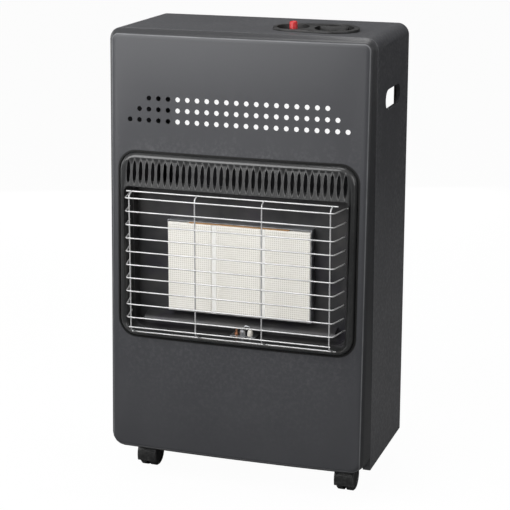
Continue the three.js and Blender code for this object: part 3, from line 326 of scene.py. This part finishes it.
groups = {
    "crevice_shade": make_crevice_shade(),
    "grain": make_grain(),
    "smudges": make_smudges(),
    "dust": make_dust(),
    "wear_and_sheen": make_wear_and_sheen(),
}


class Finish:
    """A material with its Principled shader, its object coordinates and the shared effects."""

    def __init__(self, name, **values):
        self.material = bpy.data.materials.new(name)
        self.material.use_nodes = True
        self.tree = self.material.node_tree
        self.shader = self.tree.nodes["Principled BSDF"]
        self.coords = self.tree.nodes.new("ShaderNodeTexCoord").outputs["Object"]
        for key, value in values.items():
            self.shader.inputs[key.replace("_", " ")].default_value = value

    def effect(self, which, **inputs):
        node = put(self.tree, "ShaderNodeGroup", {"node_tree": groups[which]}, **inputs)
        self.tree.links.new(self.coords, node.inputs["Vector"])
        return node.outputs

    def feed(self, name, socket):
        self.tree.links.new(socket, self.shader.inputs[name])

    def roughness(self, mask, low, high):
        self.feed("Roughness", spread(self.tree, mask, 0.0, 1.0, low, high))

    def bump(self, height, depth, strength=1.0):
        """depth is the height's full travel in millimetres."""
        node = put(self.tree, "ShaderNodeBump", None, Height=height, Strength=strength, Distance=depth * MM)
        self.feed("Normal", node.outputs[0])


# ------------------------------------------------------------ materials


def past_outline(tree, axes, width, height, middle_z, radius):
    """How far a point lies outside a rounded rectangle in X and Z, in metres; less than zero inside."""
    from_middle = calc(tree, "ABSOLUTE", calc(tree, "SUBTRACT", axes["Z"], middle_z * MM))
    reach_x = calc(tree, "SUBTRACT", calc(tree, "ABSOLUTE", axes["X"]), (width / 2 - radius) * MM)
    reach_z = calc(tree, "SUBTRACT", from_middle, (height / 2 - radius) * MM)
    outer_x, outer_z = calc(tree, "MAXIMUM", reach_x, 0.0), calc(tree, "MAXIMUM", reach_z, 0.0)
    squares = calc(tree, "ADD", calc(tree, "POWER", outer_x, 2.0), calc(tree, "POWER", outer_z, 2.0))
    inner = calc(tree, "MINIMUM", calc(tree, "MAXIMUM", reach_x, reach_z), 0.0)
    return calc(tree, "SUBTRACT", calc(tree, "ADD", calc(tree, "SQRT", squares), inner), radius * MM)


def line_mark(tree, value, middle, half):
    """A soft line where the value, in metres, is near the middle; middle and half are in millimetres."""
    off = calc(tree, "ABSOLUTE", calc(tree, "SUBTRACT", value, middle * MM))
    return spread(tree, off, half * MM, 0.3 * half * MM)


def panel_shade_and_highlights(tree, coords):
    """Painted shade at the joint round the surround and on the folded edge, and painted highlight lines
    along the pressed edges.
    """
    axes = axes_of(tree, coords)
    front = spread(tree, axes["Y"], seam_y * MM, (seam_y - SEAM_FADE) * MM)
    beyond = past_outline(tree, axes, SURROUND_WIDTH, SURROUND_HEIGHT, SURROUND_Z, SURROUND_RADIUS)
    joint_shade_full, joint_shade_gone = (distance * MM for distance in JOINT_SHADE)
    # painted shade at the joint round the surround
    painted_joint_shade = calc(tree, "MULTIPLY", spread(tree, beyond, joint_shade_gone, joint_shade_full), front)
    edge = past_outline(
        tree, axes, 2 * HALF_WIDTH, TOP_Z - BOTTOM_Z, (TOP_Z + BOTTOM_Z) / 2, CORNER_RADIUS,
    )
    fold_shade_full, fold_shade_gone = (-distance * MM for distance in FOLD_SHADE)
    # painted shade on the rounded edge
    painted_fold_shade = calc(tree, "MULTIPLY", spread(tree, edge, fold_shade_gone, fold_shade_full), front)
    # painted highlight lines on the panel's crest and the cabinet's crease
    crest_highlight = calc(tree, "MULTIPLY", line_mark(tree, edge, -PANEL_INSET - CREST_INWARD, CREST_HALF), front)
    crease_full, crease_gone = (-distance * MM for distance in CREASE_REACH)
    crease_highlight = line_mark(tree, axes["Y"], seam_y + CREASE_BEHIND, CREASE_HALF)
    crease_highlight = calc(tree, "MULTIPLY", crease_highlight, spread(tree, edge, crease_gone, crease_full))
    return painted_joint_shade, painted_fold_shade, calc(tree, "MAXIMUM", crest_highlight, crease_highlight)


def charcoal_paint():
    """Satin powder coat, with painted shade in its joints and on its folded edge, and painted highlights
    along the pressed edges.
    """
    finish = Finish("charcoal_paint", Specular_IOR_Level=0.3)
    tree = finish.tree
    smudge = finish.effect("smudges", Size=170.0)["Value"]
    grain = finish.effect("grain", Size=0.9, Softness=0.1)
    tone = blend_colours(tree, smudge, rgba(0.05, 0.051, 0.056), rgba(0.058, 0.059, 0.064))
    tone = blend_colours(tree, grain["Mask"], tone, rgba(0.1, 0.102, 0.108), share=0.2)
    tone = blend_colours(tree, finish.effect("wear_and_sheen")["Mask"], tone, rgba(0.2, 0.2, 0.205))
    tone = blend_colours(tree, finish.effect("dust", Amount=0.16)["Mask"], tone, rgba(0.2, 0.195, 0.185))
    # painted shade where pieces meet
    tone = blend_colours(tree, finish.effect("crevice_shade")["Mask"], tone, grey(0.006))
    painted_joint_shade, painted_fold_shade, painted_highlight = panel_shade_and_highlights(tree, finish.coords)
    # painted shade on the rounded, folded edge
    tone = blend_colours(tree, painted_fold_shade, tone, grey(0.012), share=0.5)
    # painted highlight lines along the panel's pressed edge and the cabinet's crease, broken by noise
    broken = spread(tree, noise(tree, finish.coords, 30.0), 0.2, 0.6, 0.5, 1.0)
    tone = blend_colours(tree, calc(tree, "MULTIPLY", painted_highlight, broken), tone, rgba(0.16, 0.163, 0.17))
    # painted shade at the joint round the surround
    finish.feed("Base Color", blend_colours(tree, painted_joint_shade, tone, grey(0.004)))
    finish.roughness(smudge, 0.38, 0.46)
    finish.bump(grain["Height"], 0.02, 0.35)
    return finish.material


def louvre_ridges(tree, coords):
    """Height of the pressed ridge that follows each lens-shaped louvre slot."""
    axes = axes_of(tree, coords)
    column = calc(tree, "ADD", calc(tree, "DIVIDE", axes["X"], LOUVRE_PITCH * MM), LOUVRE_COUNT / 2)
    across = calc(tree, "ABSOLUTE", calc(tree, "SUBTRACT", calc(tree, "FRACT", column), 0.5))
    across = calc(tree, "MULTIPLY", across, 2 * LOUVRE_PITCH / LOUVRE_WIDTH)
    along = calc(tree, "DIVIDE", calc(tree, "SUBTRACT", axes["Z"], LOUVRE_Z * MM), LOUVRE_HEIGHT / 2 * MM)
    reach = calc(tree, "ADD", calc(tree, "POWER", across, 2.0), calc(tree, "POWER", along, 2.0))
    rise = spread(tree, calc(tree, "SQRT", reach), RIDGE_FOOT, RIDGE_CREST)
    sideways = calc(tree, "ABSOLUTE", axes["X"])
    inside = spread(tree, sideways, (OPENING_HALF + RIDGE_FADE) * MM, OPENING_HALF * MM)
    return calc(tree, "MULTIPLY", rise, inside)


def black_enamel():
    """Glossy stove enamel with the louvres' ridges, painted lighter as a highlight, and a painted highlight
    along its edges.
    """
    finish = Finish("black_enamel", Specular_IOR_Level=0.3, Coat_Weight=0.6, Coat_Roughness=0.12)
    tree = finish.tree
    smudge = finish.effect("smudges", Size=70.0)["Value"]
    tone = blend_colours(tree, smudge, rgba(0.016, 0.0165, 0.017), rgba(0.028, 0.0285, 0.029))
    # painted highlight along the edges, laid on with the wear mask
    tone = blend_colours(tree, finish.effect("wear_and_sheen", Amount=0.8)["Mask"], tone, grey(0.12))
    ridge_height_and_highlight = louvre_ridges(tree, finish.coords)
    # painted highlight on the louvres' pressed ridges
    tone = blend_colours(tree, ridge_height_and_highlight, tone, grey(0.1), share=0.8)
    dust = finish.effect("dust", Amount=0.3)["Mask"]
    finish.feed("Base Color", blend_colours(tree, dust, tone, rgba(0.12, 0.117, 0.112)))
    finish.roughness(smudge, 0.3, 0.4)
    grain = calc(tree, "MULTIPLY", finish.effect("grain", Size=2.2, Softness=0.7)["Height"], 0.08)
    finish.bump(calc(tree, "ADD", grain, ridge_height_and_highlight), 0.6, 0.8)
    return finish.material


def sooty_steel():
    """Dull sheet with faint heat colours."""
    finish = Finish("sooty_steel", Specular_IOR_Level=0.5)
    tree = finish.tree
    smudge = finish.effect("smudges", Size=60.0)["Value"]
    tone = blend_colours(tree, smudge, rgba(0.02, 0.021, 0.024), rgba(0.05, 0.048, 0.047))
    heat = spread(tree, noise(tree, finish.coords, 22.0, 4.0), 0.5, 0.72)
    finish.feed("Base Color", blend_colours(tree, heat, tone, rgba(0.06, 0.052, 0.075), share=0.35))
    finish.feed("Metallic", spread(tree, heat, 0.0, 1.0, 0.25, 0.6))
    finish.roughness(smudge, 0.34, 0.55)
    finish.bump(finish.effect("grain", Size=1.4, Softness=0.5)["Height"], 0.05, 0.6)
    return finish.material


def chrome_wire():
    """Plated wire, a little cloudy."""
    finish = Finish("chrome_wire", Metallic=0.55)
    smudge = finish.effect("smudges", Size=25.0)["Value"]
    tone = blend_colours(finish.tree, smudge, rgba(0.6, 0.6, 0.605), grey(0.48))
    finish.feed("Base Color", tone)
    finish.roughness(smudge, 0.4, 0.5)
    finish.bump(finish.effect("grain", Size=0.7)["Height"], 0.01, 0.4)
    return finish.material


def plaque_ceramic():
    """Off-white ceramic with a close grid of small round ports on the face that looks forward, painted
    darker as the shade inside them.
    """
    finish = Finish("plaque_ceramic", Specular_IOR_Level=0.25, Roughness=0.85)
    tree = finish.tree
    axes = axes_of(tree, finish.coords)
    squares = []
    for axis in ("X", "Z"):
        column = calc(tree, "FRACT", calc(tree, "DIVIDE", axes[axis], PORT_PITCH * MM))
        squares.append(calc(tree, "POWER", calc(tree, "SUBTRACT", column, 0.5), 2.0))
    from_centre = calc(tree, "SQRT", calc(tree, "ADD", *squares))
    normal = tree.nodes.new("ShaderNodeNewGeometry").outputs["Normal"]
    forward = spread(tree, axes_of(tree, normal)["Y"], -0.8, -0.95)
    port_hole_and_shade = calc(tree, "MULTIPLY", spread(tree, from_centre, 0.42, 0.3), forward)
    smudge = finish.effect("smudges", Size=45.0)["Value"]
    tone = blend_colours(tree, smudge, rgba(0.94, 0.925, 0.875), rgba(0.91, 0.89, 0.825))
    speck = spread(tree, noise(tree, finish.coords, 900.0, 4.0), 0.6, 0.7)
    tone = blend_colours(tree, speck, tone, rgba(0.7, 0.66, 0.58), share=0.12)
    # painted shade inside the ports
    finish.feed("Base Color", blend_colours(tree, port_hole_and_shade, tone, rgba(0.5, 0.47, 0.4), share=0.45))
    finish.bump(calc(tree, "SUBTRACT", calc(tree, "MULTIPLY", speck, 0.1), port_hole_and_shade), 0.3, 0.4)
    return finish.material


def fibrous(name, light, dark):
    """Matt fibre board with its strands lying across."""
    finish = Finish(name, Specular_IOR_Level=0.2, Roughness=0.92)
    tree = finish.tree
    threads = put(tree, "ShaderNodeMapping", None, Vector=finish.coords, Scale=(0.3, 1.0, 1.0)).outputs[0]
    strand = noise(tree, threads, 1400.0, 5.0, 0.7)
    finish.feed("Base Color", blend_colours(tree, spread(tree, strand, 0.4, 0.65), dark, light))
    finish.bump(strand, 0.3, 0.8)
    return finish.material


def porcelain():
    """White glaze with soot stains."""
    finish = Finish("porcelain", Specular_IOR_Level=0.5, Coat_Weight=0.4, Coat_Roughness=0.1)
    smudge = finish.effect("smudges", Size=9.0)["Value"]
    tone = blend_colours(finish.tree, smudge, rgba(0.85, 0.84, 0.8), rgba(0.62, 0.57, 0.5))
    finish.feed("Base Color", tone)
    finish.roughness(smudge, 0.25, 0.4)
    finish.bump(finish.effect("grain", Size=0.5)["Height"], 0.02, 0.3)
    return finish.material


def zinc_steel():
    """Zinc-plated sheet with its spangle, dusty where it lies level."""
    finish = Finish("zinc_steel", Metallic=1.0)
    tree = finish.tree
    spangle = put(tree, "ShaderNodeTexVoronoi", None, Vector=finish.coords, Scale=130.0).outputs["Color"]
    level = put(tree, "ShaderNodeSeparateColor", None, Color=spangle).outputs[0]
    tone = blend_colours(tree, level, rgba(0.36, 0.37, 0.39), rgba(0.52, 0.53, 0.55))
    tone = blend_colours(tree, finish.effect("dust", Amount=0.35)["Mask"], tone, rgba(0.28, 0.27, 0.25))
    streaks = finish.effect("smudges", Size=40.0)["Streaks"]
    finish.feed("Base Color", blend_colours(tree, streaks, tone, rgba(0.25, 0.25, 0.26), share=0.3))
    finish.roughness(level, 0.34, 0.5)
    finish.bump(finish.effect("grain", Size=0.8)["Height"], 0.02, 0.5)
    return finish.material


def turned_metal(name, bright, dull):
    """Tarnished metal with fine lines round it, bright on its edges."""
    finish = Finish(name, Metallic=1.0)
    tree = finish.tree
    smudge = finish.effect("smudges", Size=14.0)["Value"]
    tone = blend_colours(tree, smudge, bright, dull)
    finish.feed("Base Color", blend_colours(tree, finish.effect("wear_and_sheen")["Mask"], tone, bright))
    finish.roughness(smudge, 0.22, 0.42)
    lines = put(tree, "ShaderNodeMapping", None, Vector=finish.coords, Scale=(0.1, 0.1, 1.0)).outputs[0]
    finish.bump(noise(tree, lines, 2600.0, 2.0), 0.015, 0.5)
    return finish.material


def moulded(name, tone, worn, roughness, grain_size, grain_depth):
    """Moulded plastic or rubber: grained, paler where it is rubbed or dusty, with painted shade in its
    corners.
    """
    finish = Finish(name, Specular_IOR_Level=0.35)
    tree = finish.tree
    smudge = finish.effect("smudges", Size=30.0)["Value"]
    base = blend_colours(tree, smudge, tone, worn, share=0.5)
    base = blend_colours(tree, finish.effect("wear_and_sheen", Amount=0.9)["Mask"], base, worn)
    dusty = rgba(*(min(channel + 0.08, 1.0) for channel in tone[:3]))
    base = blend_colours(tree, finish.effect("dust", Amount=0.35)["Mask"], base, dusty)
    # painted shade in the corners and where pieces meet
    shade = finish.effect("crevice_shade", Reach=14.0)["Mask"]
    finish.feed("Base Color", blend_colours(tree, shade, base, grey(0.003)))
    finish.roughness(smudge, roughness, roughness + 0.14)
    finish.bump(finish.effect("grain", Size=grain_size)["Height"], grain_depth, 0.7)
    return finish.material


materials = {
    "charcoal_paint": charcoal_paint(),
    "black_enamel": black_enamel(),
    "sooty_steel": sooty_steel(),
    "chrome_wire": chrome_wire(),
    "plaque_ceramic": plaque_ceramic(),
    "seal_fibre": fibrous("seal_fibre", light=rgba(0.97, 0.965, 0.94), dark=rgba(0.88, 0.87, 0.83)),
    "tan_fibre": fibrous("tan_fibre", light=rgba(0.56, 0.34, 0.16), dark=rgba(0.36, 0.2, 0.09)),
    "porcelain": porcelain(),
    "zinc_steel": zinc_steel(),
    "brass": turned_metal("brass", bright=rgba(0.72, 0.5, 0.2), dull=rgba(0.42, 0.28, 0.11)),
    "copper_tube": turned_metal("copper_tube", bright=rgba(0.75, 0.38, 0.22), dull=rgba(0.4, 0.19, 0.11)),
    "black_plastic": moulded(
        "black_plastic", grey(0.011), worn=grey(0.09), roughness=0.3, grain_size=0.6, grain_depth=0.03,
    ),
    "red_plastic": moulded(
        "red_plastic", rgba(0.4, 0.006, 0.01), worn=rgba(0.5, 0.03, 0.03),
        roughness=0.25, grain_size=0.8, grain_depth=0.01,
    ),
    "wheel_plastic": moulded(
        "wheel_plastic", grey(0.014), worn=grey(0.05), roughness=0.42, grain_size=0.9, grain_depth=0.05,
    ),
    "lead_rubber": moulded(
        "lead_rubber", grey(0.018), worn=grey(0.05), roughness=0.6, grain_size=0.7, grain_depth=0.04,
    ),
}

# ------------------------------------------------------------ pieces


def settle(piece, node):
    """The piece rides with the node it stands for and takes its finish."""
    slot = slot_of[node]
    piece.data.materials.clear()
    piece.data.materials.append(materials[slot])
    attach(piece, body_of[node])
    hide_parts(node)


def new_object(name, data):
    made = bpy.data.objects.new(name, data)
    bpy.context.scene.collection.objects.link(made)
    return made


def object_from(bm, name):
    mesh = bpy.data.meshes.new(name)
    bm.to_mesh(mesh)
    bm.free()
    return new_object(name, mesh)


def evaluated_mesh(made):
    """The object's mesh with its curve or its modifiers worked out."""
    graph = bpy.context.evaluated_depsgraph_get()
    return bpy.data.meshes.new_from_object(made.evaluated_get(graph))


def finer_copy(node):
    """A node's own shape with its rounds shaded smooth and, where listed, its edges slightly broken."""
    sharp = math.radians(SHARP_ANGLE)
    bm = bmesh.new()
    bm.from_mesh(nodes[node].data)
    bmesh.ops.remove_doubles(bm, verts=bm.verts, dist=MERGE_DISTANCE * MM)
    bmesh.ops.dissolve_limit(bm, angle_limit=math.radians(FLAT_ANGLE), verts=bm.verts, edges=bm.edges)
    for face in bm.faces:
        face.smooth = True
    for edge in bm.edges:
        edge.smooth = len(edge.link_faces) == 2 and edge.calc_face_angle(0.0) < sharp
    piece = object_from(bm, node + "_skin")
    if node in EDGE_BREAKS:
        cut = piece.modifiers.new("edge", "BEVEL")
        cut.width = EDGE_BREAKS[node] * MM
        cut.segments = 2
        cut.limit_method = "ANGLE"
        cut.angle_limit = sharp
        cut.harden_normals = True
        mesh = evaluated_mesh(piece)
        piece.modifiers.clear()
        piece.data = mesh
    settle(piece, node)


def bent_path(corners, steps=6):
    """The corners of a wire's path, each rounded with the wire's bend."""
    given = [Vector(c) for c in corners]
    points = [given[0]]
    for before, corner, after in zip(given, given[1:], given[2:]):
        into, out = corner - before, after - corner
        reach = min(WIRE_BEND, into.length * 0.45, out.length * 0.45)
        start, end = corner - into.normalized() * reach, corner + out.normalized() * reach
        for k in range(steps + 1):
            t = k / steps
            points.append(start.lerp(corner, t).lerp(corner.lerp(end, t), t))
    points.append(given[-1])
    return points


def wires_object(name, paths):
    """Round wires along the paths, joined in one mesh."""
    curve = bpy.data.curves.new(name, "CURVE")
    curve.dimensions = "3D"
    curve.bevel_depth = WIRE_RADIUS * MM
    curve.bevel_resolution = 4
    curve.use_fill_caps = True
    for path in paths:
        spline = curve.splines.new("POLY")
        spline.points.add(len(path) - 1)
        for point, (x, y, z) in zip(spline.points, path):
            point.co = (*place(x, y, z), 1.0)
    holder = new_object(name, curve)
    mesh = evaluated_mesh(holder)
    bpy.data.objects.remove(holder)
    for face in mesh.polygons:
        face.use_smooth = True
    return new_object(name, mesh)


def wire_guard():
    """The cage: wires across with bent legs, one more above and two below, and the uprights."""
    hook_bottom_z = HOOK_TOP_Z - (GUARD_WIRES - 1) * GUARD_PITCH
    hook_y = face_y(OPENING_HALF, (HOOK_TOP_Z + hook_bottom_z) / 2) + HOOK_DEPTH
    paths = []
    for i in range(GUARD_WIRES):
        z = HOOK_TOP_Z - i * GUARD_PITCH
        hooked = i in (0, GUARD_WIRES - 1)
        end_y = hook_y if hooked else face_y(OPENING_HALF, z) - LEG_GAP
        right = [(GUARD_HALF, GUARD_FRONT_Y, z), (LEG_X, end_y, z)]
        if hooked:
            right.append((LEG_X + HOOK_LENGTH, end_y, z))
        left = [(-x, y, z) for x, y, z in reversed(right)]
        paths.append(bent_path(left + right))
    top_z = HOOK_TOP_Z + TOP_WIRE_RISE
    low_z = hook_bottom_z - LOW_WIRE_DROP
    foot_z = low_z - FOOT_WIRE_DROP
    for half, y, z in (
        (TOP_WIRE_HALF, TOP_WIRE_Y, top_z),
        (LOW_WIRE_HALF, GUARD_FRONT_Y, low_z),
        (FOOT_WIRE_HALF, FOOT_WIRE_Y, foot_z),
    ):
        paths.append([Vector((-half, y, z)), Vector((half, y, z))])
    upright_y = GUARD_FRONT_Y + 2 * WIRE_RADIUS - WELD_SINK
    for i in range(UPRIGHTS):
        x = (i - (UPRIGHTS - 1) / 2) * UPRIGHT_PITCH
        paths.append(bent_path([
            (x, TOP_WIRE_Y, top_z), (x, upright_y, HOOK_TOP_Z + UPRIGHT_PAST),
            (x, upright_y, low_z - UPRIGHT_PAST), (x, FOOT_WIRE_Y, foot_z),
        ]))
    settle(wires_object("guard_wires", paths), "wire_guard")


wire_guard()
for node in nodes:
    if node != "wire_guard":
        finer_copy(node)

# ------------------------------------------------------------ floor, light and camera


def seen_directly(tree):
    """Light Path's outputs, and one for what the camera sees straight or through glass."""
    path = tree.nodes.new("ShaderNodeLightPath").outputs
    return path, calc(tree, "MAXIMUM", path["Is Camera Ray"], path["Is Transmission Ray"])


def make_floor():
    """White where it is seen, with the object's shadow, and a mid grey for the light it throws back."""
    bm = bmesh.new()
    bmesh.ops.create_grid(bm, x_segments=1, y_segments=1, size=40.0)
    floor = object_from(bm, "floor")
    material = bpy.data.materials.new("floor_pale")
    material.use_nodes = True
    tree = material.node_tree
    shader = tree.nodes["Principled BSDF"]
    shader.inputs["Roughness"].default_value = 0.8
    shader.inputs["Specular IOR Level"].default_value = 0.1
    coords = tree.nodes.new("ShaderNodeTexCoord").outputs["Object"]
    cloudy = noise(tree, coords, 3.0, 4.0)
    shown = seen_directly(tree)[1]
    pale = blend_colours(tree, cloudy, grey(0.97), grey(1.0))
    bounce = blend_colours(tree, cloudy, grey(0.26), grey(0.3))
    tree.links.new(blend_colours(tree, shown, bounce, pale), shader.inputs["Base Color"])
    white = put(tree, "ShaderNodeEmission", None, Strength=1.0)
    shadow = put(tree, "ShaderNodeMixShader", None, Fac=0.97, i1=shader.outputs[0], i2=white.outputs[0])
    mixed = put(tree, "ShaderNodeMixShader", None, Fac=shown, i1=shader.outputs[0], i2=shadow.outputs[0])
    tree.links.new(mixed.outputs[0], tree.nodes["Material Output"].inputs["Surface"])
    floor.data.materials.append(material)


def make_world():
    """White where it is seen, dim for the light it gives, brighter to the front in mirrored views."""
    world = bpy.data.worlds.new("studio")
    bpy.context.scene.world = world
    world.use_nodes = True
    tree = world.node_tree
    background = tree.nodes["Background"]
    path, shown = seen_directly(tree)
    heading = tree.nodes.new("ShaderNodeTexCoord").outputs["Generated"]
    mirrored = spread(tree, axes_of(tree, heading)["Y"], -0.5, 0.75, 0.62, 0.06)
    soft = blend_numbers(tree, path["Is Glossy Ray"], 0.06, mirrored)
    tree.links.new(blend_numbers(tree, shown, soft, 1.0), background.inputs["Strength"])
    background.inputs["Color"].default_value = grey(1.0)


def area_light(name, where, aim, width, height, watts, beam=180):
    """A lamp that the camera doesn't see. Its place and size are in metres, its beam in degrees."""
    data = bpy.data.lights.new(name, "AREA")
    data.shape = "RECTANGLE"
    data.size, data.size_y, data.energy = width, height, watts
    data.spread = math.radians(beam)
    lamp = new_object(name, data)
    lamp.location = where
    lamp.visible_camera = False
    lamp.rotation_euler = (Vector(aim) - Vector(where)).to_track_quat("-Z", "Y").to_euler()


def make_camera():
    """Stands and looks as the photograph's camera did."""
    azimuth, pitch, roll = (math.radians(angle) for angle in CAMERA_TURN)
    upward = Vector((0, 0, 1))
    level = Vector((-math.sin(azimuth), math.cos(azimuth), 0))
    forward = level * math.cos(pitch) - upward * math.sin(pitch)
    right = forward.cross(upward).normalized()
    up = right.cross(forward)
    turned_right = right * math.cos(roll) + up * math.sin(roll)
    turned_up = up * math.cos(roll) - right * math.sin(roll)
    centre_x, centre_y = CENTRE_PIXELS
    data = bpy.data.cameras.new("camera")
    data.sensor_width = 36.0
    data.lens = FOCAL_PIXELS * data.sensor_width / FRAME_PIXELS
    data.shift_x = (FRAME_PIXELS / 2 - centre_x) / FRAME_PIXELS
    data.shift_y = (centre_y - FRAME_PIXELS / 2) / FRAME_PIXELS
    camera = new_object("camera", data)
    matrix = Matrix((turned_right, turned_up, -forward)).transposed().to_4x4()
    matrix.translation = place(*CAMERA_PLACE)
    camera.matrix_world = matrix
    bpy.context.scene.camera = camera


make_floor()
make_world()
area_light("key", (-0.55, -1.0, 1.15), (-0.05, -0.1, 0.62), 1.3, 1.3, 10.6, beam=105)
area_light("top", (0.1, 0.15, 2.1), (0, 0, 0.7), 0.9, 0.9, 18)
area_light("side", (1.5, -0.85, 1.0), (0.2, 0, 0.55), 0.45, 1.1, 6)
area_light("fill", (1.7, 0.3, 1.1), (0.2, 0, 0.5), 0.9, 0.9, 2.5)
area_light("rear", (-0.7, 1.9, 0.36), (0, 0.1, 0.36), 1.4, 0.6, 13)
area_light("left", (-1.9, 0.5, 0.7), (-0.2, 0.05, 0.4), 1.2, 1.0, 7)
make_camera()
bpy.context.scene.view_settings.view_transform = "Standard"
